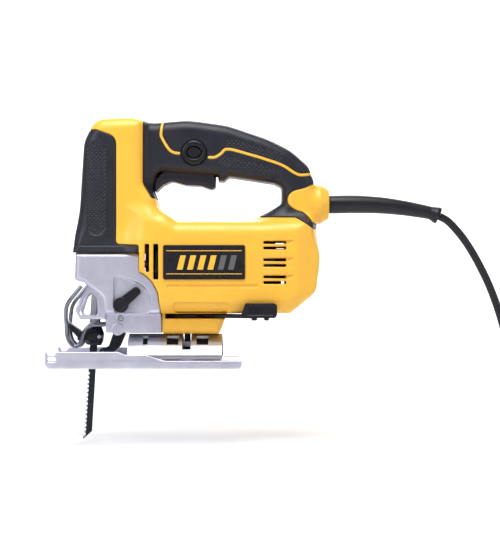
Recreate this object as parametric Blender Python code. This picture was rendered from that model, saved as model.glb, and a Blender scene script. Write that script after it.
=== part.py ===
"""A corded top-handle jigsaw, as separate closed solids.

All sizes are in millimetres and become metres when a mesh is made. The blade end faces -X, up is +Z and
the tool's left side is -Y. Z = 0 is the sole of the shoe, and the shoe tilts about the X axis.
"""

import math

import bmesh
import bpy
from mathutils import Matrix, Vector

MM = 0.001
GAP = 0.3  # between pieces that touch
SEAM = 0.15  # half of the gap between two halves
ARC_STEP = math.radians(32)
SIDES = 20

# Driving sizes
BODY_HALF = 33.0
CASE_HALF = 29.0
BLOCK_HALF = 14.0
SHOE_HALF = 38.0
SLOT_HALF = 24.5
SKIN = 2.4  # thickness of the soft grips
WALL = 2.6  # thickness of the plastic shell

# Drive train
MOTOR_Z = 84.5
GEAR_TEETH = 36
PINION_TEETH = 8
GEAR_Z = MOTOR_Z + (GEAR_TEETH + PINION_TEETH) / 2 + 0.35
STROKE = 26.0
GEAR_FRONT = -24.0
FAN_BLADES = 7

# The plunger and the blade lean forwards, and move along this line.
TILT = math.radians(3.5)
CLAMP_X = -40.4
CLAMP_Z = 26.0

# Axes of the other moving pieces, as (x, z) or (x, y)
LEVER_AXIS = (-35.5, 24.4)
ARM_AXIS = (-17.0, 40.0)
ROLLER_AXIS = (-33.0, 10.8)
SELECTOR_AXIS = (-15.3, 51.0)
TRIGGER_AXIS = (12.5, 155.0)
BUTTON_AXIS = (43.1, 175.3)
BOLT_AXIS = (37.0, 0.0)

# The lead
CORD_RADIUS = 3.25
FLOOR_Z = -62.3
COIL_CENTRE = (366.0, 4.0)
COIL_OUTER = 47.0
COIL_INNER = 25.5
COIL_HEIGHT = 20.0

# Corners of the outlines, as (x, z, radius of the corner)
BODY_OUTLINE = [
    (-6, 44, 0), (121.5, 44, 4), (142.8, 61.5, 12), (145.8, 91, 30), (140.8, 108, 10), (140.4, 121, 4),
    (100, 118.9, 0), (30, 118.9, 4), (20.7, 125.1, 4), (9, 128, 3), (-6, 128, 0),
]
COLUMN_OUTLINE = [
    (-55, 80, 0), (12, 80, 0), (12, 139, 6), (2.6, 149, 8), (2.6, 201.4, 4), (-7, 203.9, 14),
    (-37.5, 202.4, 14), (-46.8, 184, 24), (-50.3, 128, 60), (-53.6, 110, 20),
]
SKIRT_OUTLINE = [(-55.3, 93.6, 0), (6, 93.6, 0), (6, 100.4, 0), (-54, 106, 3)]
HANDLE_OUTLINE = [
    (-22, 127, 0), (8.4, 127, 0), (9.2, 147, 4), (14, 159.6, 4), (70, 156, 0), (108.5, 150.4, 4),
    (114.8, 147.5, 4), (114.8, 134, 5), (97, 122.2, 4),
    (84, 80, 0), (140, 80, 0), (141.4, 152, 6),
    (137, 164.5, 12), (122, 178, 40), (103, 187.3, 60), (70, 198.4, 60), (38, 202.7, 60),
    (12, 200.4, 20), (-22, 201.4, 0),
]
FOOT_OUTLINE = [(17, 27.3, 2), (63.8, 27.3, 3), (73.5, 53, 3), (73.5, 62, 0), (17, 62, 0)]
CASE_OUTLINE = [
    (-29.7, 43.6, 2), (20, 43.6, 0), (20, 93.2, 0), (-52.6, 93.2, 1), (-53.2, 70.9, 2),
    (-46.2, 69.4, 3), (-31, 57.5, 5),
]
NOSE_OUTLINE = [
    (-50.4, 39.1, 2), (-29, 39.1, 0), (-29, 74, 0), (-36, 70, 0), (-44.8, 65.5, 3), (-49.2, 57.5, 6),
    (-54.4, 47, 4),
]
WINDOW_OUTLINE = [(-51.6, 42.4, 2), (-35.4, 42.4, 2), (-36.4, 57, 4), (-41.6, 62.4, 4), (-47.4, 56, 4)]
# The line where the housing meets the gear case, from the top down
CASE_LINE = [(-0.8, 93.4), (-0.8, 78), (4, 75.2), (10, 69.6), (14.5, 60.7), (16, 48), (17, 20)]
FRONT_GRIP_OUTLINE = [
    (-70, 93.5, 0), (-0.8, 93.5, 0), (-0.8, 99.6, 2), (-19.6, 100.4, 3), (-19.6, 187, 6), (-36, 193.4, 0),
    (-70, 193.4, 0),
]
HANDLE_GRIP_OUTLINE = [
    (97, 122.35, 0), (126, 122, 5), (139.5, 113, 0), (160, 113, 0), (160, 215, 0), (1.6, 215, 0),
    (1.4, 150, 8), (8.6, 137.6, 3), (20, 137.6, 0), (88, 137, 0),
]
TRIGGER_OUTLINE = [
    (9.4, 141.5, 1.5), (17, 149.2, 5), (24.5, 152.6, 7), (36, 149.3, 8), (48, 148.8, 8), (57.5, 145.7, 2),
    (60.6, 147.6, 1), (60.6, 158.6, 1), (44, 163.6, 6), (20, 163.6, 5), (10.4, 154, 4),
]

# How the sides round off: (distance from the middle, how far the outline has moved in)
BODY_LAYERS = [(20, 0), (27, 2), (31, 6), (33, 14)]
COLUMN_LAYERS = [(15, 0), (21.5, 1.5), (24.8, 4.5), (26, 9)]
HANDLE_LAYERS = [(8, 0), (13, 1.8), (16, 5), (17, 9)]
CASE_LAYERS = [(23, 0), (27.2, 1.2), (29, 4)]
SKIRT_LAYERS = [(24, 0), (28, 0.8), (29.4, 2.4)]
FOOT_LAYERS = [(15.5, 0), (18.3, 2.6), (20.5, 6)]


# ---------------------------------------------------------------- shapes

def left_normal(v):
    return Vector((-v.y, v.x))


def rounded(corners, inset=0.0):
    """A polygon with rounded corners, moved inwards by `inset`; its corners run anticlockwise."""
    places = [Vector(c[:2]) for c in corners]
    outline = []
    for i, (_, _, radius) in enumerate(corners):
        before = (places[i] - places[i - 1]).normalized()
        after = (places[(i + 1) % len(places)] - places[i]).normalized()
        angle = math.atan2(before.x * after.y - before.y * after.x, before.dot(after))
        normals = left_normal(before) + left_normal(after)
        corner = places[i] + normals * inset / (1 + left_normal(before).dot(left_normal(after)))
        if radius == 0:
            outline.append(corner)
            continue
        turn = 1 if angle > 0 else -1
        bend = max(radius - turn * inset, 0.3)
        start = corner - before * bend * math.tan(abs(angle) / 2)
        centre = start + left_normal(before) * bend * turn
        steps = max(1, math.ceil(abs(angle) / ARC_STEP))
        for k in range(steps + 1):
            outline.append(centre + Matrix.Rotation(angle * k / steps, 2) @ (start - centre))
    return outline


def material_for(name, colour, roughness, metallic):
    material = bpy.data.materials.new(name)
    material.use_nodes = True
    shader = material.node_tree.nodes["Principled BSDF"]
    shader.inputs["Base Color"].default_value = (*colour, 1)
    shader.inputs["Roughness"].default_value = roughness
    shader.inputs["Metallic"].default_value = metallic
    material.diffuse_color = (*colour, 1)
    return material


def solid(name, points, faces, origin=(0, 0, 0)):
    """A mesh object from points in millimetres, with its origin at `origin`."""
    origin = Vector(origin)
    mesh = bpy.data.meshes.new(name)
    mesh.from_pydata([(Vector(p) - origin) * MM for p in points], [], faces)
    shape = bmesh.new()
    shape.from_mesh(mesh)
    bmesh.ops.remove_doubles(shape, verts=shape.verts, dist=1e-6)
    bmesh.ops.recalc_face_normals(shape, faces=shape.faces)
    shape.to_mesh(mesh)
    shape.free()
    made = bpy.data.objects.new(name, mesh)
    made.location = origin * MM
    bpy.context.scene.collection.objects.link(made)
    return made


def lofted(name, rings, origin=(0, 0, 0)):
    """A closed solid through rings that all have the same number of points."""
    count = len(rings[0])
    points = [p for ring in rings for p in ring]
    faces = [list(range(count)), [len(points) - count + i for i in range(count)]]
    for r in range(len(rings) - 1):
        for i in range(count):
            j = (i + 1) % count
            faces.append([r * count + i, r * count + j, (r + 1) * count + j, (r + 1) * count + i])
    return solid(name, points, faces, origin)


def shrunk(layers, by):
    """The layers of a solid that lies `by` inside."""
    last = max(len(layers) - 1, 1)
    turned = []
    for k, (side, inset) in enumerate(layers):
        angle = math.pi / 2 * k / last
        turned.append((side - by * math.sin(angle), inset + by * math.cos(angle) - by))
    return turned


def cushion(name, corners, layers, by=0.0, origin=(0, 0, 0)):
    """A solid across the tool whose sides round off in layers, made smaller all round by `by`."""
    sides = shrunk(layers, by) if by else layers
    both = [(-side, inset) for side, inset in reversed(sides)] + sides
    rings = [[(p.x, y, p.y) for p in rounded(corners, inset + by)] for y, inset in both]
    return lofted(name, rings, origin)


def slab(name, corners, y0, y1, origin=(0, 0, 0)):
    """An outline in the XZ plane, as thick as from y0 to y1."""
    outline = rounded(corners)
    return lofted(name, [[(p.x, y, p.y) for p in outline] for y in (y0, y1)], origin)


def plate(name, corners, z0, z1, origin=(0, 0, 0)):
    """An outline in the XY plane, as thick as from z0 to z1."""
    outline = rounded(corners)
    return lofted(name, [[(p.x, p.y, z) for p in outline] for z in (z0, z1)], origin)


def profile_bar(name, corners, x0, x1, origin=(0, 0, 0)):
    """An outline in the YZ plane, as long as from x0 to x1."""
    outline = rounded(corners)
    return lofted(name, [[(x, p.x, p.y) for p in outline] for x in (x0, x1)], origin)


def block(name, low, high, origin=(0, 0, 0)):
    (x0, y0, z0), (x1, y1, z1) = low, high
    corners = [(x0, z0, 0), (x1, z0, 0), (x1, z1, 0), (x0, z1, 0)]
    return slab(name, corners, y0, y1, origin)


def turned(name, centre, axis, profile, origin=None, sides=SIDES):
    """A solid of revolution: its profile is (distance along the axis, radius), from end to end."""
    centre, axis = Vector(centre), Vector(axis).normalized()
    across = axis.orthogonal().normalized()
    other = axis.cross(across)
    rings = []
    for along, radius in profile:
        ring = []
        for k in range(sides):
            angle = math.tau * k / sides
            spoke = across * math.cos(angle) + other * math.sin(angle)
            ring.append(centre + axis * along + spoke * radius)
        rings.append(ring)
    return lofted(name, rings, centre if origin is None else origin)


def washer(name, centre, axis, inner, outer, start, end, origin=None, sides=SIDES):
    """A ring with a square section round an axis."""
    centre, axis = Vector(centre), Vector(axis).normalized()
    across = axis.orthogonal().normalized()
    other = axis.cross(across)
    points, faces = [], []
    for k in range(sides):
        angle = math.tau * k / sides
        spoke = across * math.cos(angle) + other * math.sin(angle)
        for along, radius in ((start, inner), (start, outer), (end, outer), (end, inner)):
            points.append(centre + axis * along + spoke * radius)
        here, there = 4 * k, 4 * ((k + 1) % sides)
        for c in range(4):
            d = (c + 1) % 4
            faces.append([here + c, here + d, there + d, there + c])
    return solid(name, points, faces, centre if origin is None else origin)


def gear(name, centre, teeth, start, end, pitch_turn=0.0):
    """A spur gear of module 1 about an axis along X."""
    radius = teeth / 2
    ring = []
    for k in range(teeth):
        for share, height in ((-0.33, -1.15), (-0.1, 0.9), (0.1, 0.9), (0.33, -1.15)):
            angle = math.tau * (k + share + pitch_turn) / teeth
            ring.append((math.sin(angle) * (radius + height), math.cos(angle) * (radius + height)))
    cx, cy, cz = centre
    rings = [[(cx + x, cy + y, cz + z) for y, z in ring] for x in (start, end)]
    return lofted(name, rings, centre)


def baked(target):
    """The mesh with its modifiers carried out."""
    bpy.context.view_layer.update()
    shown = target.evaluated_get(bpy.context.evaluated_depsgraph_get())
    mesh = bpy.data.meshes.new_from_object(shown)
    target.modifiers.clear()
    target.data = mesh


def combine(target, tool, operation):
    change = target.modifiers.new("combine", "BOOLEAN")
    change.operation = operation
    change.solver = "EXACT"
    change.object = tool
    baked(target)


def combined(target, tools, operation):
    for tool in tools:
        combine(target, tool, operation)
        bpy.data.objects.remove(tool)
    return target


def join(target, *tools):
    return combined(target, tools, "UNION")


def cut(target, *tools):
    return combined(target, tools, "DIFFERENCE")


def keep(target, *tools):
    return combined(target, tools, "INTERSECT")


def copy_of(source, name):
    made = source.copy()
    made.data = source.data.copy()
    made.name = name
    bpy.context.scene.collection.objects.link(made)
    return made


def halves(whole, names, seam=SEAM):
    """Splits a solid into its left and right halves."""
    far = 200
    left, right = (copy_of(whole, name) for name in names)
    cut(left, block("far side", (-far, -seam, -far), (2 * far, far, 2 * far)))
    cut(right, block("near side", (-far, -far, -far), (2 * far, seam, 2 * far)))
    bpy.data.objects.remove(whole)
    return left, right


def leaning(along, forward=0.0, y=0.0):
    """A point of the plunger's line: `along` upwards from the clamp, `forward` towards the teeth."""
    x = CLAMP_X + along * math.sin(TILT) - forward * math.cos(TILT)
    z = CLAMP_Z + along * math.cos(TILT) + forward * math.sin(TILT)
    return (x, y, z)


STROKE_AXIS = (math.sin(TILT), 0, math.cos(TILT))


# ---------------------------------------------------------------- housing

def outer_form(by=0.0):
    """The outside of the moulded housing, or the form that lies `by` inside it."""
    form = cushion("form", BODY_OUTLINE, BODY_LAYERS, by)
    column = cushion("column", COLUMN_OUTLINE, COLUMN_LAYERS, by)
    handle = cushion("handle", HANDLE_OUTLINE, HANDLE_LAYERS, by)
    return join(form, column, handle)


def cord_boss():
    profile = [(-36, 6), (-33, 11.5), (-27, 15), (-18, 16), (-8, 15.9), (-3, 14.5), (0, 12)]
    return turned("boss", (154, 0, 134), (1, 0, 0), profile)


def case_side(move):
    """Everything on the gear case's side of the line between it and the housing."""
    line = [(x + move, z + (move if k == 0 else 0), 0) for k, (x, z) in enumerate(CASE_LINE)]
    corners = line + [(-80, 20, 0), (-80, line[0][1], 0)]
    return slab("case side", [(x, z, 0) for x, z, _ in reversed(corners)], -60, 60)


def foot():
    """The narrow foot under the housing, hollowed for the bevel lever."""
    made = cushion("foot", FOOT_OUTLINE, FOOT_LAYERS)
    x, y = BOLT_AXIS
    cut(made, turned("hub room", (x, y, 39.8), (0, 0, 1), [(0, 17.6), (4, 17.6)]))
    sweep = [(19.5, -40, 0), (85, -40, 0), (85, -22.6, 0), (37, 5.1, 0), (19.5, 4, 0)]
    cut(made, plate("arm room", sweep, 39.8, 43.8))
    return cut(made, turned("bolt hole", (x, y, 20), (0, 0, 1), [(0, 3.1), (22, 3.1)]))


def vents():
    """The air slots: two upright ones at the front and three pairs at the rear."""
    made = [block("vent", (4.1, -60, 77.7), (7.7, 60, 100.2))]
    made.append(block("vent", (11, -60, 71.6), (15, 60, 100.2)))
    for z in (95.8, 100.2, 81.8, 86.4, 68.0, 72.4):
        made.append(block("vent", (99.7, -60, z), (117.8, 60, z + 2.6)))
    return made


def trigger_pocket():
    return block("pocket", (7.6, -10.9, 140.6), (62.6, 10.9, 169))


def button_hole(radius, deep=-12.0):
    x, z = BUTTON_AXIS
    return turned("hole", (x, -30, z), (0, 1, 0), [(0, radius), (30 + deep, radius)])


# x, z, y under the head, and how far the screw's post reaches
SCREWS = [(-8, 190, 20.5, 24), (100, 171, 10.5, 12.8), (86, 54, 26, 30.5), (129, 66, 24, 30.5)]


def housing():
    whole = outer_form()
    join(whole, cushion("skirt", SKIRT_OUTLINE, SKIRT_LAYERS), foot())
    skins = copy_of(whole, "skins")
    combined(whole, [slab("mask", FRONT_GRIP_OUTLINE, -60, 60)], "DIFFERENCE")
    combined(whole, [slab("mask", HANDLE_GRIP_OUTLINE, -60, 60)], "DIFFERENCE")
    join(whole, outer_form(SKIN + GAP))
    cut(whole, case_side(GAP))
    join(whole, cord_boss())
    cavity = outer_form(SKIN + GAP + WALL)
    join(cavity, cushion("motor room", BODY_OUTLINE, BODY_LAYERS, WALL))
    cut(whole, cavity, turned("guard bore", (130, 0, 134), (1, 0, 0), [(0, 4), (30, 4)]))
    for x, z, _, reach in SCREWS:
        join(whole, turned("post", (x, 0, z), (0, 1, 0), [(-reach, 4.5), (reach, 4.5)], sides=12))
    cut(whole, *vents(), trigger_pocket(), button_hole(10.4), button_hole(6.2, -8))
    left, right = halves(whole, ("housing_left", "housing_right"))
    for x, z, head, _ in SCREWS:
        cut(right, turned("head room", (x, head, z), (0, 1, 0), [(0, 4), (20, 4)], sides=12))
        cut(right, turned("hole", (x, -1, z), (0, 1, 0), [(0, 2.1), (head + 2, 2.1)], sides=8))
        cut(left, turned("hole", (x, -5, z), (0, 1, 0), [(0, 2.1), (6, 2.1)], sides=8))
    return skins


def grips(skins):
    """The soft skins, cut from the housing's outer form."""
    core = outer_form(SKIN)
    front = copy_of(skins, "front")
    keep(front, slab("mask", grown_in(FRONT_GRIP_OUTLINE), -60, 60))
    combine(front, core, "DIFFERENCE")
    halves(front, ("front_grip_left", "front_grip_right"))
    back = copy_of(skins, "back")
    keep(back, slab("mask", grown_in(HANDLE_GRIP_OUTLINE), -60, 60))
    combine(back, core, "DIFFERENCE")
    boss = cord_boss()
    boss.scale = (1.02, 1.03, 1.03)
    cut(back, boss, trigger_pocket(), button_hole(10.4, -5))
    left, right = halves(back, ("handle_grip_left", "handle_grip_right"))
    x, z, head, _ = SCREWS[1]
    cut(right, turned("head room", (x, head - 3, z), (0, 1, 0), [(0, 4.2), (20, 4.2)], sides=12))
    for unused in (core, skins):
        bpy.data.objects.remove(unused)


def grown_in(corners):
    """The same corners, moved inwards by the gap between two pieces."""
    places = [Vector(c[:2]) for c in corners]
    moved = []
    for i, (_, _, radius) in enumerate(corners):
        before = (places[i] - places[i - 1]).normalized()
        after = (places[(i + 1) % len(places)] - places[i]).normalized()
        normals = left_normal(before) + left_normal(after)
        corner = places[i] + normals * GAP / (1 + left_normal(before).dot(left_normal(after)))
        moved.append((corner.x, corner.y, radius))
    return moved


def badges():
    corners = [(18.9, 71.6, 1.5), (84.8, 71.6, 1.5), (84.8, 99.3, 1.5), (18.9, 99.3, 1.5)]
    slab("badge_left", corners, -BODY_HALF - 1.2, -BODY_HALF - GAP)
    slab("badge_right", corners, BODY_HALF + GAP, BODY_HALF + 1.2)


def screws():
    for k, (x, z, head, _) in enumerate(SCREWS, 1):
        profile = [(-2 - head, 1.6), (0.3, 1.6), (0.3, 3.4), (2.2, 3.4), (2.8, 2.6)]
        turned(f"housing_screw_{k}", (x, head, z), (0, 1, 0), profile, sides=12)


# ---------------------------------------------------------------- gear case

def gear_case():
    whole = cushion("gear_case", CASE_OUTLINE, CASE_LAYERS)
    lower = [(-29.7, 27.9, 1), (19, 27.9, 0), (19, 46, 0), (-29.7, 46, 0)]
    join(whole, slab("lower", lower, -BLOCK_HALF, BLOCK_HALF))
    join(whole, slab("nose", NOSE_OUTLINE, -18, 18))
    keep(whole, case_side(0))
    cut(whole, slab("windows", WINDOW_OUTLINE, -60, 60))
    cut(whole, block("clamp room", (-70, -10.7, 20), (-29.9, 10.7, 63.5)))
    cut(whole, block("gear room", (-46, -22.5, 76.2), (30, 22.5, 110)))
    cut(whole, turned("fan room", (2, 0, MOTOR_Z), (1, 0, 0), [(0, 27.2), (30, 27.2)]))
    cut(whole, block("arm room", (-35, -4.4, 20), (-11.2, 4.4, 47)))
    cut(whole, turned("arm pin hole", (ARM_AXIS[0], -20, ARM_AXIS[1]), (0, 1, 0), [(0, 2.3), (40, 2.3)]))
    cut(whole, turned("bush bore", leaning(0), STROKE_AXIS, [(30, 7.3), (60, 7.3)]))
    x, z = SELECTOR_AXIS
    return cut(whole, turned("selector hole", (x, -40, z), (0, 1, 0), [(0, 3.3), (17, 3.3)]))


def plunger_guides():
    washer("lower_bush", leaning(0), STROKE_AXIS, 4.8, 7.0, 38.6, 50)
    washer("upper_bush", leaning(0), STROKE_AXIS, 4.8, 8.0, 119, 129)


def bearing_plate():
    corners = [(-17.5, 77, 3), (17.5, 77, 3), (17.5, 116, 6), (-17.5, 116, 6)]
    made = profile_bar("bearing_plate", corners, -13, -8)
    cut(made, turned("bore", (-20, 0, MOTOR_Z), (1, 0, 0), [(0, 7.3), (20, 7.3)]))
    cut(made, turned("bore", (-20, 0, GEAR_Z), (1, 0, 0), [(0, 3.4), (20, 3.4)]))
    washer("front_bearing", (-13, 0, MOTOR_Z), (1, 0, 0), 3.5, 7.0, 0, 5)
    washer("rear_bearing", (108, 0, MOTOR_Z), (1, 0, 0), 3.5, 8.0, 0, 7)
    washer("brush_ring", (98, 0, MOTOR_Z), (1, 0, 0), 9.0, 25.0, 0, 7)


# ---------------------------------------------------------------- drive train

def armature():
    along = (1, 0, 0)
    middle = (0, 0, MOTOR_Z)
    turned("motor_shaft", middle, along, [(-13.7, 3.2), (115, 3.2)])
    gear("pinion", middle, PINION_TEETH, -26, -14)
    hub = washer("fan", middle, along, 3.5, 9, 4, 14)
    join(hub, washer("disc", middle, along, 8, 26, 12, 14))
    for k in range(FAN_BLADES):
        blade = block("fan blade", (5, -0.8, 7), (12.6, 0.8, 25.5))
        blade.matrix_world = Matrix.Rotation(math.tau * k / FAN_BLADES, 4, "X")
        blade.location = (0, 0, MOTOR_Z * MM)
        join(hub, blade)
    washer("armature_core", middle, along, 3.5, 17, 25, 75)
    washer("commutator", middle, along, 3.5, 14, 82, 96)


def stator():
    washer("stator", (28, 0, MOTOR_Z), (1, 0, 0), 18, 27.5, 0, 44)
    for name, side in (("brush_left", -1), ("brush_right", 1)):
        low, high = sorted((side * 14.6, side * 24))
        block(name, (85, low, MOTOR_Z - 3), (93, high, MOTOR_Z + 3))


def crank():
    middle = (0, 0, GEAR_Z)
    made = gear("crank_gear", middle, GEAR_TEETH, GEAR_FRONT, -16.5, 0.5)
    cut(made, turned("bore", middle, (1, 0, 0), [(-30, 3.4), (-10, 3.4)]))
    pin_z = GEAR_Z - STROKE / 2
    join(made, turned("pin", (0, 0, pin_z), (1, 0, 0), [(-28.9, 2.4), (-20, 2.4)], sides=16))
    turned("gear_shaft", middle, (1, 0, 0), [(-25, 3.1), (-5, 3.1)])


def plunger():
    turned("plunger", leaning(0), STROKE_AXIS, [(9.4, 4.5), (131, 4.5), (132, 3.7)])
    foot_z = GEAR_Z - STROKE / 2
    made = block("yoke", (-32.6, -16.5, foot_z - 5.5), (-29.3, 16.5, foot_z + 5.5), leaning(0))
    slot = [(-14.6, foot_z - 2.8, 2.7), (14.6, foot_z - 2.8, 2.7), (14.6, foot_z + 2.8, 2.7),
            (-14.6, foot_z + 2.8, 2.7)]
    cut(made, profile_bar("slot", slot, -31.6, -20))
    cut(made, turned("bore", leaning(0), STROKE_AXIS, [(40, 4.8), (120, 4.8)]))


# ---------------------------------------------------------------- blade and clamp

def blade():
    """A wood blade: a plain shank, a toothed edge and a slanting tip."""
    origin = leaning(0)
    outline = [(-88, 3.1), (-80, -3), (7, -3), (7, 3), (-29, 3)]
    pitch = 3.6
    for k in range(15):
        top = -31 - k * pitch
        outline += [(top, 2.2), (top - pitch + 0.4, 3.3)]
    points = [leaning(along, forward) for along, forward in outline]
    rings = [[(x, y, z) for x, _, z in points] for y in (-0.6, 0.6)]
    lofted("blade", rings, origin)


def blade_clamp():
    origin = leaning(0)
    profile = [(-8.6, 6.2), (-5, 7.9), (1, 8.3), (9, 5)]
    made = turned("blade_clamp", origin, STROKE_AXIS, profile, origin)
    keep(made, block("flats", (-60, -7, 0), (-20, 7, 60)))
    cut(made, block("blade slot", (-46, -0.95, 10), (-35.9, 0.95, 33.6)))
    x, z = LEVER_AXIS
    cut(made, turned("pin hole", (x, -9, z), (0, 1, 0), [(0, 1.7), (18, 1.7)], sides=16))
    turned("clamp_pin", (x, 0, z), (0, 1, 0), [(-8.6, 1.35), (8.6, 1.35)], sides=16)


def clamp_lever():
    """Two cheeks beside the clamp, joined in front of it, with a thumb tab."""
    x, z = LEVER_AXIS
    pivot = (x, 0, z)
    cheek = [(x - 18, z - 3, 1), (x, z - 3.4, 3), (x + 3.2, z, 3), (x, z + 3.4, 3), (x - 18, z + 4.4, 1)]
    made = slab("clamp_lever", cheek, -8.7, 8.7, pivot)
    cut(made, block("clamp room", (x - 14.3, -7.3, z - 20), (x + 20, 7.3, z + 20)))
    tab = [(x - 17.5, z - 1.5, 0), (x - 14.6, z, 0), (x - 14.6, z + 4.4, 0), (x - 26.4, z + 12.8, 0.8),
           (x - 28, z + 10, 0.8)]
    join(made, slab("tab", tab, -6, 6))
    return cut(made, turned("pin hole", (x, -9, z), (0, 1, 0), [(0, 1.65), (18, 1.65)], sides=16))


# ---------------------------------------------------------------- orbital action

def pendulum():
    x, z = ARM_AXIS
    pivot = (x, 0, z)
    corners = [(-36, 7, 3), (-29.6, 6.8, 3), (-18.5, 16.5, 4), (-14, 27, 4), (-13.2, 44.4, 4),
               (-21, 44.4, 4), (-24.5, 27, 4), (-28, 16.6, 2), (-35.5, 13.8, 2)]
    made = slab("pendulum_arm", corners, -4, 4, pivot)
    rx, rz = ROLLER_AXIS
    cut(made, turned("roller room", (rx, -2.5, rz), (0, 1, 0), [(0, 6), (5, 6)]))
    cut(made, turned("pin hole", (rx, -9, rz), (0, 1, 0), [(0, 1.7), (18, 1.7)], sides=16))
    cut(made, turned("pin hole", (x, -9, z), (0, 1, 0), [(0, 2.4), (18, 2.4)], sides=16))
    turned("arm_pin", pivot, (0, 1, 0), [(-13, 2), (13, 2)], sides=16)
    turned("roller_pin", (rx, 0, rz), (0, 1, 0), [(-3.9, 1.35), (3.9, 1.35)], sides=16)
    washer("guide_roller", (rx, 0, rz), (0, 1, 0), 1.7, 5, -2.2, 2.2)


def selector():
    x, z = SELECTOR_AXIS
    centre = (x, 0, z)
    case_side_y = -CASE_HALF
    made = turned("selector_knob", centre, (0, 1, 0), [(case_side_y - 4.6, 5.6), (case_side_y - 4, 6.2),
                                                       (case_side_y - 0.6, 6.2)])
    join(made, turned("stem", centre, (0, 1, 0), [(case_side_y - 2, 2.9), (case_side_y + 5.5, 2.9)]))
    arm = [(x - 4, z - 2.6, 0), (x + 2, z - 4, 0), (x + 17.4, z + 10.8, 2.4), (x + 12.2, z + 15.4, 2.4),
           (x - 4, z + 3.4, 0)]
    return join(made, slab("arm", arm, case_side_y - 4, case_side_y - 0.6))


def guard_wires():
    """Two bent wires in front of the blade, seen from the side as one line."""
    route = [(-48.4, 20.6, 66.4), (-52.5, 20.4, 61.4), (-58, 19.6, 54.5), (-61, 17.8, 49), (-61.9, 15, 42),
             (-61.9, 12, 35), (-61.7, 10.9, 27), (-60, 10.9, 21), (-57, 10.9, 17.6), (-54, 10.9, 16.6),
             (-51.6, 10.9, 18), (-49.4, 10.9, 22.5), (-47.6, 10.9, 27.4), (-45.6, 10.9, 31.4),
             (-42, 10.9, 33.8), (-37, 11.6, 34.4), (-30.4, 12, 34.4)]
    for name, side in (("wire_guard_left", -1), ("wire_guard_right", 1)):
        tube(name, [(x, side * y, z) for x, y, z in route], 1.5, 3)


# ---------------------------------------------------------------- shoe

def shoe():
    s, half = SLOT_HALF, SHOE_HALF
    corners = [(-72.8, -half, 4), (80.8, -half, 4), (80.8, half, 4), (-72.8, half, 4), (-72.8, s, 4),
               (-21, s, 9), (-11.6, s - 9, 6), (-11.6, -s + 9, 6), (-21, -s, 9), (-72.8, -s, 4)]
    made = plate("shoe", corners, 0, 6.4)
    rim = [(-76.1, 3.4, 1), (-72.8, 0, 1), (80.8, 0, 1), (82.4, 2, 1), (82.4, 6.4, 1), (21, 6.4, 2),
           (5, 11.2, 2), (-11, 11.2, 2), (-17, 13.6, 2), (-66.4, 13.6, 1), (-68.4, 11, 0.8),
           (-73.2, 11, 0.8), (-73.9, 13.8, 0.7), (-76.1, 13.8, 0.7)]
    for side in (-1, 1):
        low, high = sorted((side * (half - 3), side * half))
        join(made, slab("rim", rim, low, high))
    for x in (-2, 62):
        join(made, block("rib", (x, -half + 2, 4), (x + 3, half - 2, 6.7)))
    return made


def arch(name, inner, outer, half_angle, x0, x1):
    """Part of a tube about the X axis, upright in the middle."""
    steps = 14
    angles = [half_angle * (2 * k / steps - 1) for k in range(steps + 1)]
    ring = [(math.sin(a) * outer, math.cos(a) * outer) for a in angles]
    ring += [(math.sin(a) * inner, math.cos(a) * inner) for a in reversed(angles)]
    return lofted(name, [[(x, y, z) for y, z in ring] for x in (x0, x1)])


def saddle():
    """The curved steel saddle, with windows in both sides that show the liner under it."""
    made = arch("saddle", 24.5, 26.8, math.radians(68), -11, 66)
    for side in (-1, 1):
        low, high = sorted((side * 22.5, side * 28.2))
        join(made, block("flange", (-11, low, 7.0), (66, high, 9.4)))
    cut(made, block("under", (-20, -40, -5), (80, 40, 7.0)))
    cut(made, block("bolt slot", (33.5, -22.4, 12.5), (40.5, 22.4, 30)))
    for x0, x1 in ((1.2, 5.2), (20.7, 30.4), (45, 54.7)):
        for side in (-1, 1):
            low, high = sorted((side * 8, side * 40))
            cut(made, block("window", (x0, low, 18.5), (x1, high, 25.2)))
    return made


def liner():
    """Two sliding liners inside the saddle, with room for the clamp bolt between them."""
    for name, x0, x1 in (("liner_front", -9, 31), ("liner_rear", 43.5, 64)):
        arch(name, 22, 24.2, math.radians(62), x0, x1)


def bevel_clamp():
    x, y = BOLT_AXIS
    pivot = (x, y, 41.6)
    hub = turned("bevel_lever", pivot, (0, 0, 1), [(-1.5, 16.8), (1.5, 16.8)], sides=28)
    turn = math.radians(-30)
    ahead = Vector((math.cos(turn), math.sin(turn)))
    aside = Vector((-ahead.y, ahead.x))
    reach = [ahead * 10 + aside * 4, ahead * 10 - aside * 4, ahead * 64 - aside * 4, ahead * 64 + aside * 4]
    join(hub, plate("arm", [(x + p.x, y + p.y, 0) for p in reach], 40.2, 42.9))
    grip = [(80.8, 40.7, 1), (90, 40.7, 0), (90, 38.7, 0), (94.5, 38.7, 0), (94.5, 40.7, 0), (100, 40.7, 0),
            (100, 38.7, 0), (104, 38.7, 0), (104, 40.7, 0), (109, 40.7, 1), (110.5, 43, 1), (110.5, 51, 1.5),
            (108, 52.7, 1), (85, 52.7, 1)]
    join(hub, slab("knob", grip, -40.4, -34.2))
    link = [(84, -29, 0), (84, -36, 0), (96, -36, 0), (96, -33, 0), (90, -29, 0)]
    join(hub, plate("link", link, 40.7, 43.4))
    turned("clamp_bolt", (x, y, 0), (0, 0, 1), [(13.4, 2.6), (39.7, 2.6)], sides=20)
    base = [(28, -6, 1), (46, -6, 1), (46, 6, 1), (28, 6, 1)]
    made = plate("clamp_plate", base, 16.4, 20.4)
    cut(made, turned("hole", (x, y, 10), (0, 0, 1), [(0, 2.9), (20, 2.9)], sides=20))


# ---------------------------------------------------------------- controls

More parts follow.
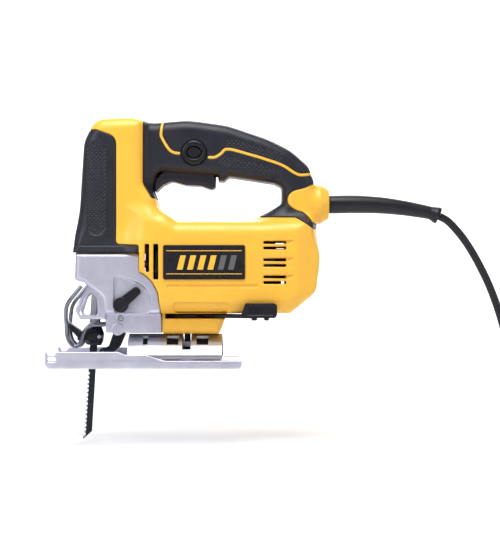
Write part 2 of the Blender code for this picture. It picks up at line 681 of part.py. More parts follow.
def controls():
    x, z = TRIGGER_AXIS
    slab("trigger", TRIGGER_OUTLINE, -10.4, 10.4, (x, 0, z))
    block("switch_body", (16, -8.6, 171), (62, 8.6, 184))
    x, z = BUTTON_AXIS
    washer("lock_bezel", (x, -17.9, z), (0, 1, 0), 6.4, 10.0, 0, 5)
    profile = [(-18.6, 4.4), (-17.9, 5.6), (-13.4, 5.6)]
    turned("lock_button", (x, 0, z), (0, 1, 0), profile, (x, -15, z))


# ---------------------------------------------------------------- lead

def smooth(points, spacing):
    """A smooth curve through the points, read off at even spacing."""
    places = [Vector(p) for p in points]
    ends = [2 * places[0] - places[1], *places, 2 * places[-1] - places[-2]]
    fine = []
    for a, b, c, d in zip(ends, ends[1:], ends[2:], ends[3:]):
        for k in range(20):
            t = k / 20
            fine.append(0.5 * (2 * b + (c - a) * t + (2 * a - 5 * b + 4 * c - d) * t * t
                               + (3 * b - 3 * c + d - a) * t ** 3))
    fine.append(places[-1])
    kept = [fine[0]]
    for p in fine:
        if (p - kept[-1]).length >= spacing:
            kept.append(p)
    if (fine[-1] - kept[-1]).length > spacing / 3:
        kept.append(fine[-1])
    else:
        kept[-1] = fine[-1]
    return kept


def tube(name, route, radius, spacing):
    data = bpy.data.curves.new(name, "CURVE")
    data.dimensions = "3D"
    data.bevel_depth = radius * MM
    data.bevel_resolution = 2
    data.use_fill_caps = True
    points = smooth(route, spacing)
    line = data.splines.new("POLY")
    line.points.add(len(points) - 1)
    for point, place in zip(line.points, points):
        point.co = (*(place * MM), 1)
    made = bpy.data.objects.new(name, data)
    bpy.context.scene.collection.objects.link(made)
    return made


# The lead leaves the guard, falls to the floor outside and meets the coil.
CORD_ROUTE = [
    (246, 0, 124), (252.5, 0, 120.4), (259, 0, 113.9), (265.5, 0, 106), (272.5, 0, 95.5),
    (280, 0, 82), (287.5, -0.5, 66), (294, -1.5, 48), (299.3, -2.7, 29), (303, -4.2, 10),
    (305.6, -6.2, -11), (308.3, -8.8, -29.5), (311.6, -12.4, -43.8), (316.2, -17.7, -53.4),
    (321.9, -24.3, -58.2), (327.6, -30.8, -59),
]
# Its last stretch lies on the coil and ends in the plug.
TAIL_ROUTE = [(335.2, 26.8, -38.7), (331.3, 19.1, -38.2), (330.1, 10.6, -37.2), (331.7, 2.2, -35.8),
              (335.9, -5.1, -34.8)]
PLUG_START = (336.2, -5.4, -34.7)
PLUG_TURN = math.radians(-50)
# (distance from the start, half of the width, half of the height)
PLUG_SECTIONS = [(0.5, 4, 4), (14, 5, 5), (18, 9, 6.4), (24, 12.4, 6.8), (40, 13, 6.8), (44, 12, 6.2)]

GUARD_ROUTE = [(154.3, 0, 133.8), (166, 0, 134), (180, 0, 134), (197, 0, 133.2), (213, 0, 131.4),
               (228, 0, 128.9), (238, 0, 126.9), (243, 0, 125.3), (245.4, 0, 124.3)]
GUARD_RADII = [7.6, 7.6, 7.5, 7, 6.4, 5.8, 5.4, 6.9, 6.9]


def cord_guard():
    places = [Vector(p) for p in GUARD_ROUTE]
    rings = []
    for k, (place, radius) in enumerate(zip(places, GUARD_RADII)):
        ahead = (places[min(k + 1, len(places) - 1)] - places[max(k - 1, 0)]).normalized()
        side = Vector((0, 1, 0))
        up = ahead.cross(side)
        ring = []
        for n in range(20):
            angle = math.tau * n / 20
            ring.append(place + (side * math.cos(angle) + up * math.sin(angle)) * radius)
        rings.append(ring)
    lofted("cord_guard", rings, GUARD_ROUTE[0])


def lead():
    tube("cord", CORD_ROUTE, CORD_RADIUS, 7)
    tube("cord_tail", TAIL_ROUTE, CORD_RADIUS, 7)
    x, y = COIL_CENTRE
    washer("cord_coil", (x, y, FLOOR_Z), (0, 0, 1), COIL_INNER, COIL_OUTER, 0, COIL_HEIGHT, sides=32)


def plug():
    """A flat two-pin plug lying on the coil."""
    start = Vector(PLUG_START)
    ahead = Vector((math.cos(PLUG_TURN), math.sin(PLUG_TURN), 0))
    aside = Vector((-ahead.y, ahead.x, 0))
    up = Vector((0, 0, 1))
    rings = []
    for along, wide, high in PLUG_SECTIONS:
        ring = []
        for n in range(20):
            angle = math.tau * n / 20
            c, s = math.cos(angle), math.sin(angle)
            across = math.copysign(abs(c) ** 0.6, c) * wide
            rise = math.copysign(abs(s) ** 0.6, s) * high
            ring.append(start + ahead * along + aside * across + up * rise)
        rings.append(ring)
    lofted("plug", rings, PLUG_START)
    for name, side in (("plug_pin_left", 1), ("plug_pin_right", -1)):
        base = start + ahead * 44.3 + aside * side * 9
        turned(name, base, ahead, [(0, 2), (18, 2), (19, 1.2)], sides=16)


# ---------------------------------------------------------------- materials and assembly

YELLOW = ("yellow_plastic", (0.90, 0.47, 0.055), 0.38, 0.0)
RUBBER = ("soft_grip", (0.022, 0.021, 0.028), 0.62, 0.0)
ALLOY = ("cast_alloy", (0.52, 0.53, 0.60), 0.42, 0.9)
STEEL = ("steel", (0.60, 0.60, 0.62), 0.28, 1.0)
BLADE_STEEL = ("blade_steel", (0.03, 0.035, 0.05), 0.35, 0.9)
BLACK = ("black_plastic", (0.016, 0.016, 0.02), 0.42, 0.0)
COPPER = ("copper", (0.70, 0.32, 0.18), 0.35, 1.0)
CORE = ("core_steel", (0.30, 0.30, 0.32), 0.45, 0.9)
CARBON = ("carbon", (0.05, 0.05, 0.055), 0.8, 0.0)
LABEL = ("label", (0.03, 0.03, 0.035), 0.35, 0.0)
CORD = ("cord_rubber", (0.014, 0.014, 0.016), 0.5, 0.0)
BRASS = ("brass", (0.72, 0.56, 0.28), 0.3, 1.0)

LOOKS = {
    YELLOW: ["housing_left", "housing_right"],
    RUBBER: ["front_grip_left", "front_grip_right", "handle_grip_left", "handle_grip_right"],
    LABEL: ["badge_left", "badge_right"],
    ALLOY: ["gear_case", "shoe", "bearing_plate"],
    STEEL: ["motor_shaft", "pinion", "gear_shaft", "crank_gear", "plunger", "yoke", "blade_clamp",
            "clamp_pin", "arm_pin", "guide_roller", "roller_pin", "wire_guard_left", "wire_guard_right",
            "saddle", "clamp_bolt", "clamp_plate", "front_bearing", "rear_bearing", "pendulum_arm"],
    BLADE_STEEL: ["blade"],
    BLACK: ["clamp_lever", "selector_knob", "liner_front", "liner_rear", "bevel_lever", "trigger",
            "switch_body", "lock_bezel", "lock_button", "fan", "brush_ring"],
    COPPER: ["commutator"],
    CORE: ["armature_core", "stator"],
    CARBON: ["brush_left", "brush_right"],
    CORD: ["cord", "cord_coil", "cord_tail", "cord_guard", "plug"],
    BRASS: ["upper_bush", "lower_bush", "plug_pin_left", "plug_pin_right"],
}


def tidy(name, material, collection):
    """Gives a finished solid its material and its place in the collection."""
    made = bpy.data.objects[name]
    made.data.materials.clear()
    made.data.materials.append(material)
    made.data.name = name
    if made.type == "MESH":
        for face in made.data.polygons:
            face.material_index = 0
    for home in list(made.users_collection):
        home.objects.unlink(made)
    collection.objects.link(made)


def main():
    for old in list(bpy.data.objects):
        bpy.data.objects.remove(old)
    grips(housing())
    badges()
    screws()
    gear_case()
    plunger_guides()
    bearing_plate()
    armature()
    stator()
    crank()
    plunger()
    blade()
    blade_clamp()
    clamp_lever()
    pendulum()
    selector()
    guard_wires()
    shoe()
    saddle()
    liner()
    bevel_clamp()
    controls()
    cord_guard()
    lead()
    plug()
    collection = bpy.data.collections.new("jigsaw")
    bpy.context.scene.collection.children.link(collection)
    looks = dict(LOOKS)
    looks[STEEL] = looks[STEEL] + [f"housing_screw_{k}" for k in range(1, len(SCREWS) + 1)]
    for look, names in looks.items():
        material = material_for(*look)
        for name in names:
            tidy(name, material, collection)


main()
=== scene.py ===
"""The looks of a corded top-handle jigsaw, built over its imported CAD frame.

Sizes are in millimetres until a mesh is made. The blade end faces -X, up is +Z and the left side is -Y.
The moulded pieces are worked out as signed distances on a grid, negative inside, and then meshed.
"""

import math

import bmesh
import bpy
import numpy as np
import openvdb
from mathutils import Matrix, Vector


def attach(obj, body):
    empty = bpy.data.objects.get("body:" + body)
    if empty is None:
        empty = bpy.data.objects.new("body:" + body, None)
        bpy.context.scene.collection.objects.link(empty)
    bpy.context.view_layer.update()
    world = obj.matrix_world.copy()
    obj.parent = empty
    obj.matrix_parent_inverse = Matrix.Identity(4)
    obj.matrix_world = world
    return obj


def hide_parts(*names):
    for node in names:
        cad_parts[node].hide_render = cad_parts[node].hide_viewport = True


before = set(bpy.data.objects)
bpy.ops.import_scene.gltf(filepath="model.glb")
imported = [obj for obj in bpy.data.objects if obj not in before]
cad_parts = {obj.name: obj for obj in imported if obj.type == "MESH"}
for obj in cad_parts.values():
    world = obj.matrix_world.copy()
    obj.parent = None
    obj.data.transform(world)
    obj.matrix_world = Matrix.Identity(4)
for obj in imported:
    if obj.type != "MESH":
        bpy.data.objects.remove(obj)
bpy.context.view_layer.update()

MM = 0.001
GAP = 0.3  # clearance between pieces that meet
SEAM = 0.15  # half of the line between the left and right halves
COARSE = 1.0  # grids are this much coarser while trying things

# Camera
CAMERA_PLACE = (0.0888, -1.060, 0.0712)
LENS = 82.1
SENSOR_WIDTH = 36

# Half-widths across the tool
BODY_HALF = 33.0
COLUMN_HALF = 26.0
HANDLE_HALF = 17.0
CASE_HALF = 29.0
SKIN = 2.4  # thickness of the soft grips
WALL = 2.6  # thickness of the plastic shell

# Heights of the motor's axis and of the hole where the lead goes in
MOTOR_Z = 84.5
LEAD_Z = 134

# Axes of the pieces that turn or slide, as (x, z) or (x, y)
SELECTOR_AXIS = (-15.3, 51.0)
BUTTON_AXIS = (43.1, 175.3)
BOLT_AXIS = (37.0, 0.0)
ARM_AXIS = (-17.0, 40.0)
LEVER_AXIS = (-35.5, 24.4)
CLAMP_AXIS = (-40.4, 26.0)
TILT = math.radians(3.5)  # how far the plunger leans forwards
# x, z, y under the head, and how far the screw's post reaches
SCREWS = [(-8, 190, 20.5, 24), (100, 171, 10.5, 12.8), (86, 54, 26, 30.5), (129, 66, 24, 30.5)]

FLOOR_Z = -62.3
CORD_RADIUS = 3.25
COIL_CENTRE = (366.0, 4.0)


# ---------------------------------------------------------------- camera, floor and light

def studio():
    """The camera square to the tool's left side, a pale surround and large soft lights."""
    camera = bpy.data.cameras.new("camera")
    camera.lens = LENS
    camera.sensor_width = SENSOR_WIDTH
    stand = linked("camera", camera)
    stand.location = CAMERA_PLACE
    stand.rotation_euler = (math.radians(90), 0, 0)
    bpy.context.scene.camera = stand

    world = bpy.data.worlds.new("studio")
    world.use_nodes = True
    sky = world.node_tree.nodes["Background"].inputs
    sky["Color"].default_value = (1, 1, 1, 1)
    sky["Strength"].default_value = 0.38
    bpy.context.scene.world = world
    bpy.context.scene.view_settings.view_transform = "Standard"

    softbox("top light", (0.0, -0.35, 0.95), (0.08, 0, 0.1), 0.6, 8.5)
    softbox("key light", (-0.8, -0.8, 0.6), (0.05, 0, 0.1), 0.45, 4.2)
    softbox("side light", (0.95, -0.6, 0.4), (0.1, 0, 0.08), 0.4, 1.2)
    softbox("back light", (0.2, 0.8, 0.75), (0.08, 0, 0.1), 0.6, 4)
    for x in (-1.1, 1.2):
        softbox("backdrop light", (x, 1.0, 0.9), (x * 0.3, 2.4, 0.1), 1.0, 30)


def softbox(name, place, target, size, power):
    """A square light that faces its target. Its size is in metres and its power in watts."""
    light = bpy.data.lights.new(name, "AREA")
    light.size = size
    light.energy = power
    stand = linked(name, light)
    stand.location = place
    direction = Vector(target) - Vector(place)
    stand.rotation_euler = direction.to_track_quat("-Z", "Y").to_euler()


def floor():
    """A pale sheet that lies on the floor and curves up at the back."""
    reach, back, bend, top = 9, 1.6, 0.8, 3
    profile = [(-reach, 0), (back, 0)]
    for angle in np.linspace(0.1, math.pi / 2, 12):
        profile.append((back + bend * math.sin(angle), bend - bend * math.cos(angle)))
    profile.append((back + bend, top))
    height = (FLOOR_Z - 0.9) * MM
    points = [(x, y, z + height) for y, z in profile for x in (-reach, reach)]
    faces = [(2 * k, 2 * k + 1, 2 * k + 3, 2 * k + 2) for k in range(len(profile) - 1)]
    mesh = bpy.data.meshes.new("floor")
    mesh.from_pydata(points, [], faces)
    mesh.shade_smooth()
    sheet = linked("floor", mesh)
    paper = surface("paper", (0.86, 0.86, 0.86), 0.9, grain=1.5, relief=0.05, second=(0.84, 0.84, 0.845))
    mesh.materials.append(paper)


# ---------------------------------------------------------------- materials

def surface(name, colour, rough, metal=0.0, grain=0.5, relief=0.2, second=None, stretch=(1, 1, 1),
            worn=0.12, patch=12.0, shine=0.5):
    """A material with grain, slow patches of the second colour, and roughness that varies by `worn`.

    The sizes of the grain and of the patches are in millimetres.
    """
    material = bpy.data.materials.new(name)
    material.use_nodes = True
    nodes, links = material.node_tree.nodes, material.node_tree.links

    def node(kind, settings):
        made = nodes.new("ShaderNode" + kind)
        for socket, value in settings.items():
            made.inputs[socket].default_value = value
        return made

    shader = nodes["Principled BSDF"]
    shader.inputs["Metallic"].default_value = metal
    shader.inputs["Specular IOR Level"].default_value = shine
    place = node("TexCoord", {})
    scaled = node("Mapping", {"Scale": stretch})
    links.new(place.outputs["Object"], scaled.inputs["Vector"])

    fine = node("TexNoise", {"Scale": 1000 / grain, "Detail": 3})
    links.new(scaled.outputs["Vector"], fine.inputs["Vector"])
    bump = node("Bump", {"Strength": relief, "Distance": 0.0002})
    links.new(fine.outputs["Fac"], bump.inputs["Height"])
    links.new(bump.outputs["Normal"], shader.inputs["Normal"])

    slow = node("TexNoise", {"Scale": 1000 / patch, "Detail": 5})
    links.new(place.outputs["Object"], slow.inputs["Vector"])
    mix = nodes.new("ShaderNodeMix")
    mix.data_type = "RGBA"
    mix.inputs["A"].default_value = (*colour, 1)
    mix.inputs["B"].default_value = (*(second or [c * 0.86 for c in colour]), 1)
    links.new(slow.outputs["Fac"], mix.inputs["Factor"])
    links.new(mix.outputs["Result"], shader.inputs["Base Color"])

    gloss = node("MapRange", {"To Min": max(rough - worn, 0.05), "To Max": min(rough + worn, 1)})
    links.new(slow.outputs["Fac"], gloss.inputs["Value"])
    links.new(gloss.outputs["Result"], shader.inputs["Roughness"])
    return material


def make_materials():
    """One material for each slot of the record, and a few more for trim."""
    return {
        "yellow_plastic": surface("yellow_plastic", (0.94, 0.53, 0.052), 0.36, grain=0.35, relief=0.14,
                                  second=(0.90, 0.46, 0.043)),
        "soft_grip": surface("soft_grip", (0.011, 0.011, 0.020), 0.40, grain=0.3, relief=0.35,
                             second=(0.018, 0.018, 0.030), shine=0.36),
        "cast_alloy": surface("cast_alloy", (0.86, 0.85, 1.0), 0.40, metal=0.9, grain=0.8, relief=1.0,
                              second=(0.36, 0.36, 0.46), patch=26, worn=0.2),
        "steel": surface("steel", (0.56, 0.56, 0.61), 0.46, metal=1, stretch=(0.15, 1, 1)),
        "bright_wire": surface("bright_wire", (0.24, 0.25, 0.30), 0.16, metal=1, grain=0.6, relief=0.1,
                               worn=0.08),
        "blade_steel": surface("blade_steel", (0.008, 0.010, 0.019), 0.40, metal=0.2, grain=0.4, relief=0.15,
                               stretch=(1, 1, 0.1), second=(0.015, 0.019, 0.032), shine=0.3),
        "black_plastic": surface("black_plastic", (0.007, 0.007, 0.011), 0.30, grain=0.35,
                                 second=(0.012, 0.012, 0.017), shine=0.3),
        "copper": surface("copper", (0.70, 0.30, 0.15), 0.35, metal=1, grain=0.6, relief=0.4),
        "core_steel": surface("core_steel", (0.20, 0.20, 0.21), 0.45, metal=0.9, relief=0.5,
                              stretch=(4, 1, 1)),
        "carbon": surface("carbon", (0.03, 0.03, 0.03), 0.7, grain=0.3, relief=0.4),
        "label": surface("label", (0.008, 0.007, 0.011), 0.28, grain=0.4, relief=0.06,
                         second=(0.013, 0.012, 0.016), shine=0.35),
        "cord_rubber": surface("cord_rubber", (0.008, 0.008, 0.012), 0.36,
                               second=(0.013, 0.013, 0.018), shine=0.35),
        "brass": surface("brass", (0.72, 0.52, 0.22), 0.3, metal=1),
    }


def finished(piece, slot, body, stands_for=()):
    """Gives a piece its finish, the CAD body it rides on and the CAD nodes it stands for."""
    piece.data.materials.clear()
    piece.data.materials.append(MATERIALS[slot])
    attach(piece, body)
    if stands_for:
        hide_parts(*stands_for)
    return piece


# ---------------------------------------------------------------- lines and outlines

ARC_STEP = math.radians(9)


def left_normal(v):
    return Vector((-v.y, v.x))


def rounded(corners):
    """A polygon whose anticlockwise corners, given as (x, z, radius), are rounded off."""
    places = [Vector(c[:2]) for c in corners]
    outline = []
    for i, (_, _, radius) in enumerate(corners):
        before = (places[i] - places[i - 1]).normalized()
        after = (places[(i + 1) % len(places)] - places[i]).normalized()
        angle = math.atan2(before.x * after.y - before.y * after.x, before.dot(after))
        if radius == 0:
            outline.append(places[i])
            continue
        turn = 1 if angle > 0 else -1
        start = places[i] - before * radius * math.tan(abs(angle) / 2)
        centre = start + left_normal(before) * radius * turn
        steps = max(1, math.ceil(abs(angle) / ARC_STEP))
        for k in range(steps + 1):
            outline.append(centre + Matrix.Rotation(angle * k / steps, 2) @ (start - centre))
    return outline


def smooth_line(points, steps):
    """A smooth line through the points, with so many steps between two of them."""
    places = [Vector(p) for p in points]
    ends = [2 * places[0] - places[1], *places, 2 * places[-1] - places[-2]]
    fine = []
    for a, b, c, d in zip(ends, ends[1:], ends[2:], ends[3:]):
        for k in range(steps):
            t = k / steps
            fine.append(0.5 * (2 * b + (c - a) * t + (2 * a - 5 * b + 4 * c - d) * t * t
                               + (3 * b - 3 * c + d - a) * t ** 3))
    fine.append(places[-1])
    return fine


def linked(name, data):
    """A new object in the scene for this mesh, curve, light or camera."""
    made = bpy.data.objects.new(name, data)
    bpy.context.scene.collection.objects.link(made)
    return made


def faced_outwards(name, points, faces):
    """A closed mesh from points in metres, whose faces all look outwards."""
    mesh = bpy.data.meshes.new(name)
    mesh.from_pydata(points, [], faces)
    shape = bmesh.new()
    shape.from_mesh(mesh)
    bmesh.ops.recalc_face_normals(shape, faces=shape.faces)
    shape.to_mesh(mesh)
    shape.free()
    return mesh


def lofted(name, rings, flat_angle=40):
    """A closed solid through rings that all have the same number of points, in millimetres."""
    count = len(rings[0])
    points = [Vector(p) * MM for ring in rings for p in ring]
    faces = [list(range(count)), [len(points) - count + i for i in range(count)]]
    for r in range(len(rings) - 1):
        for i in range(count):
            j = (i + 1) % count
            faces.append([r * count + i, r * count + j, (r + 1) * count + j, (r + 1) * count + i])
    mesh = faced_outwards(name, points, faces)
    mesh.shade_smooth()
    mesh.set_sharp_from_angle(angle=math.radians(flat_angle))
    return linked(name, mesh)


def slab(name, outline, y0, y1, edge):
    """An outline in the XZ plane made as thick as from y0 to y1, with its edges broken."""
    return bevelled(lofted(name, [[(x, y, z) for x, z in outline] for y in (y0, y1)]), edge)


def bevelled(piece, width):
    """Breaks the sharp edges of a piece by a width in millimetres."""
    bevel = piece.modifiers.new("edges", "BEVEL")
    bevel.width = width * MM
    bevel.segments = 2
    bevel.limit_method = "ANGLE"
    bevel.angle_limit = math.radians(35)
    bevel.harden_normals = True
    return piece


def tube(name, points, radius):
    """A round bar along a line of points in millimetres."""
    data = bpy.data.curves.new(name, "CURVE")
    data.dimensions = "3D"
    data.bevel_depth = radius * MM
    data.bevel_resolution = 5
    data.use_fill_caps = True
    line = data.splines.new("POLY")
    line.points.add(len(points) - 1)
    for point, place in zip(line.points, points):
        point.co = (*(Vector(place) * MM), 1)
    return linked(name, data)


# ---------------------------------------------------------------- signed distances

class Grid:
    """Even samples of a box, in millimetres."""

    def __init__(self, low, high, step):
        self.step = step * COARSE
        self.low = low
        lines = [np.arange(a, b + self.step, self.step, dtype=np.float32) for a, b in zip(low, high)]
        self.x = lines[0][:, None, None]
        self.y = lines[1][None, :, None]
        self.z = lines[2][None, None, :]
        self.across = np.abs(self.y)


def squared_distance(u, v, start, end):
    """Squared distance from the straight line between two points of a plane."""
    (au, av), (bu, bv) = start, end
    eu, ev = bu - au, bv - av
    wu, wv = u - au, v - av
    share = np.clip((wu * eu + wv * ev) / (eu * eu + ev * ev + 1e-9), 0, 1)
    return (wu - eu * share) ** 2 + (wv - ev * share) ** 2


def flat_distance(u, v, outline):
    """Distance from an outline in a plane whose coordinates are u and v, negative inside."""
    nearest, inside = np.float32(1e9), False
    for start, end in zip(outline, outline[1:] + outline[:1]):
        nearest = np.minimum(nearest, squared_distance(u, v, start, end))
        (au, av), (bu, bv) = start, end
        if av != bv:
            crossed = ((av > v) != (bv > v)) & (u < au + (v - av) * (bu - au) / (bv - av))
            inside = inside ^ crossed
    return np.where(inside, -1, 1).astype(np.float32) * np.sqrt(nearest)


def side_view(grid, corners):
    return flat_distance(grid.x, grid.z, rounded(corners))


def top_view(grid, corners):
    return flat_distance(grid.x, grid.y, rounded(corners))


def line_distance(u, v, points):
    """Distance from an open line in a plane."""
    nearest = np.float32(1e9)
    for start, end in zip(points, points[1:]):
        nearest = np.minimum(nearest, squared_distance(u, v, start, end))
    return np.sqrt(nearest)


def overlap(a, b, edge=0.0):
    """Where both shapes are. The edge where they meet is rounded off."""
    if np.isscalar(edge) and edge == 0:
        return np.maximum(a, b)
    inner = np.minimum(np.maximum(a, b), -edge)
    return inner + np.hypot(np.maximum(a + edge, 0), np.maximum(b + edge, 0))


def without(a, b, edge=0.0):
    """The first shape with the second cut out of it."""
    return overlap(a, -b, edge)


def moulded(flat, across, half, edge):
    """An outline made as thick as `half` to each side, with round edges."""
    return overlap(flat, across - half, edge)


def blended(a, b, soft):
    """Both shapes, with a soft fillet between them."""
    near = np.clip(0.5 + 0.5 * (b - a) / soft, 0, 1)
    return b + (a - b) * near - soft * near * (1 - near)


def rod(grid, centre, axis, radius, start, end, edge=0.0):
    """A round bar along axis "x", "y" or "z"; centre is its place in the other two axes."""
    along = getattr(grid, axis)
    others = [getattr(grid, other) for other in "xyz" if other != axis]
    spread = np.hypot(others[0] - centre[0], others[1] - centre[1])
    return overlap(spread - radius, np.abs(along - (start + end) / 2) - (end - start) / 2, edge)


def box(grid, low, high, edge=0.0):
    """A block between two corners."""
    spans = [np.abs(line - (a + b) / 2) - (b - a) / 2 for line, a, b in
             zip((grid.x, grid.y, grid.z), low, high)]
    return overlap(overlap(spans[0], spans[2], edge), spans[1], edge)


def side_slot(grid, low, high, radius):
    """Flat distance from a slot with round corners, in the side view."""
    du = np.abs(grid.x - (low[0] + high[0]) / 2) - (high[0] - low[0]) / 2
    dv = np.abs(grid.z - (low[1] + high[1]) / 2) - (high[1] - low[1]) / 2
    return overlap(du, dv, radius)


def meshed(name, grid, field, mirrored=False):
    """The surface where the field is zero."""
    shape = np.broadcast_shapes(field.shape, (grid.x.size, grid.y.size, grid.z.size))
    band = 3 * grid.step
    samples = np.clip(np.broadcast_to(field, shape), -band, band).astype(np.float32)
    volume = openvdb.FloatGrid(band)
    volume.copyFromArray(np.ascontiguousarray(samples))
    points, quads = volume.convertToQuads(0.0)
    points = (points * grid.step + np.array(grid.low, dtype=np.float32)) * MM
    if mirrored:
        points[:, 1] *= -1
    corners = points[quads]
    facing = np.cross(corners[:, 1] - corners[:, 0], corners[:, 2] - corners[:, 0])
    if np.einsum("ij,ij->", corners[:, 0] - points.mean(0), facing) < 0:
        quads = quads[:, ::-1]
    mesh = bpy.data.meshes.new(name)
    mesh.vertices.add(len(points))
    mesh.vertices.foreach_set("co", points.astype(np.float32).ravel())
    mesh.loops.add(quads.size)
    mesh.loops.foreach_set("vertex_index", np.ascontiguousarray(quads, dtype=np.int32).ravel())
    mesh.polygons.add(len(quads))
    mesh.polygons.foreach_set("loop_start", np.arange(0, quads.size, 4, dtype=np.int32))
    mesh.update(calc_edges=True)
    mesh.validate()
    mesh.shade_smooth()
    return linked(name, mesh)


def shown(name, grid, field, slot, body):
    """The mesh of a field, in the place of the CAD node of that name."""
    finished(meshed(f"{name}_look", grid, field), slot, body, [name])


def both_sides(name, grid, left, right, slot, body):
    """Meshes of a left and a right field, each worked out for the side where y is above 0."""
    for side, field, mirrored in (("left", left, True), ("right", right, False)):
        piece = meshed(f"{name}_{side}_look", grid, field, mirrored)
        finished(piece, slot, body, [f"{name}_{side}"])


# ---------------------------------------------------------------- the lead

CORD_ROUTE = [
    (246, 0, 124), (252.5, 0, 120.4), (259, 0, 113.9), (265.5, 0, 106), (272.5, 0, 95.5),
    (280, 0, 82), (287.5, -0.5, 66), (294, -1.5, 48), (299.3, -2.7, 29), (303, -4.2, 10),
    (305.6, -6.2, -11), (308.3, -8.8, -29.5), (311.6, -12.4, -43.8), (316.2, -17.7, -53.4),
    (321.9, -24.3, -58.2),
]
TAIL_ROUTE = [(331.3, 19.1, -38.2), (330.1, 10.6, -37.2), (331.7, 2.2, -35.8), (335.9, -5.1, -34.8)]
PLUG_START = (336.2, -5.4, -34.7)
PLUG_TURN = math.radians(-50)
PIN_ASIDE = 9
PIN_SECTIONS = [(44.1, 2.4), (44.6, 2.4), (44.7, 2), (60, 2), (61.8, 1.6), (62.7, 0.8), (62.8, 0.2)]
GUARD_ROUTE = [(154.3, 0, 133.8), (166, 0, 134), (180, 0, 134), (197, 0, 133.2), (213, 0, 131.4),
               (228, 0, 128.9), (238, 0, 126.9), (243, 0, 125.3), (245.4, 0, 124.3)]
GUARD_RADII = [7.6, 7.6, 7.5, 7, 6.4, 5.8, 5.4, 6.9, 6.9]

# The coil: three layers of three turns. Each step is (degrees turned, radius, height above the floor).
COIL_ENTRY = 222.2
RINGS = (43.7, 37.1, 30.5)
LAYERS = (3.25, 9.8, 16.35, 22.9)
COIL_STEPS = [
    (0, 51.8, LAYERS[0]), (60, RINGS[0], LAYERS[0]),
    (360, RINGS[0], LAYERS[0]), (420, RINGS[1], LAYERS[0]),
    (720, RINGS[1], LAYERS[0]), (780, RINGS[2], LAYERS[0]),
    (1020, RINGS[2], LAYERS[0]), (1080, RINGS[2], LAYERS[1]),
    (1320, RINGS[2], LAYERS[1]), (1380, RINGS[1], LAYERS[1]),
    (1680, RINGS[1], LAYERS[1]), (1740, RINGS[0], LAYERS[1]),
    (1980, RINGS[0], LAYERS[1]), (2040, RINGS[0], LAYERS[2]),
    (2280, RINGS[0], LAYERS[2]), (2340, RINGS[1], LAYERS[2]),
    (2640, RINGS[1], LAYERS[2]), (2700, RINGS[2], LAYERS[2]),
    (2940, RINGS[2], LAYERS[2]), (3000, RINGS[2], LAYERS[3]),
    (3161.3, 38.3, 23.6),
]


def coil_points():
    """The turns, fifteen degrees at a time."""
    angles = np.arange(0, COIL_STEPS[-1][0] + 1, 15)
    points = []
    for angle in angles:
        k = max(i for i, step in enumerate(COIL_STEPS[:-1]) if step[0] <= angle)
        (a0, r0, h0), (a1, r1, h1) = COIL_STEPS[k:k + 2]
        t = (angle - a0) / (a1 - a0)
        ease = t * t * (3 - 2 * t)
        radius = r0 + (r1 - r0) * ease
        turn = math.radians(COIL_ENTRY + angle)
        points.append((COIL_CENTRE[0] + radius * math.cos(turn), COIL_CENTRE[1] + radius * math.sin(turn),
                       FLOOR_Z + h0 + (h1 - h0) * ease))
    return points


def lead():
    """The lead on one smooth line from its guard to the coil, with its plug, pins and strap."""
    points = smooth_line(CORD_ROUTE + coil_points() + TAIL_ROUTE, 3)
    cord = finished(tube("lead", points, CORD_RADIUS), "cord_rubber", "housing",
                    ["cord", "cord_coil", "cord_tail"])
    body = plug()
    pins = plug_pins()
    tie = coil_tie()


def squarish(wide, high, power=0.6, count=40):
    """A ring between an oval and a rectangle, as (across, up)."""
    ring = []
    for n in range(count):
        c, s = math.cos(math.tau * n / count), math.sin(math.tau * n / count)
        ring.append((math.copysign(abs(c) ** power, c) * wide, math.copysign(abs(s) ** power, s) * high))
    return ring


def plug_frame():
    """Where the plug starts, the way it points, and the way across it."""
    ahead = Vector((math.cos(PLUG_TURN), math.sin(PLUG_TURN), 0))
    return Vector(PLUG_START), ahead, Vector((-ahead.y, ahead.x, 0))


def plug():
    """A moulded two-pin plug with a ribbed neck and finger hollows."""
    start, ahead, aside = plug_frame()
    sections = [(0.5, 3.9, 3.9), (1.2, 4.6, 4.6)]
    for k in range(4):
        sections += [(3 + 3 * k, 4.8, 4.8), (4 + 3 * k, 4.0, 4.0), (4.9 + 3 * k, 4.0, 4.0)]
    sections += [(15, 5.2, 5.0), (16.5, 7.4, 6.0), (18.5, 9.4, 6.5), (22, 11.3, 6.6), (26, 11.8, 6.2),
                 (31, 12, 6.2), (35, 12.6, 6.6), (38, 13, 6.8), (42.6, 13, 6.8), (43.7, 12.4, 6.3),
                 (44, 11.6, 5.8)]
    rings = [[start + ahead * along + aside * a + Vector((0, 0, u)) for a, u in squarish(wide, high)]
             for along, wide, high in sections]
    return finished(lofted("plug_look", rings, 60), "cord_rubber", "housing", ["plug"])


def plug_pins():
    """Two round pins with rounded tips."""
    start, ahead, aside = plug_frame()
    pins = []
    for name, side in (("plug_pin_left", 1), ("plug_pin_right", -1)):
        rings = []
        for along, radius in PIN_SECTIONS:
            centre = start + ahead * along + aside * side * PIN_ASIDE
            rings.append([centre + aside * math.cos(a) * radius + Vector((0, 0, math.sin(a) * radius))
                          for a in np.linspace(0, math.tau, 24, endpoint=False)])
        pins.append(finished(lofted(name + "_look", rings, 50), "brass", "housing", [name]))
    return pins


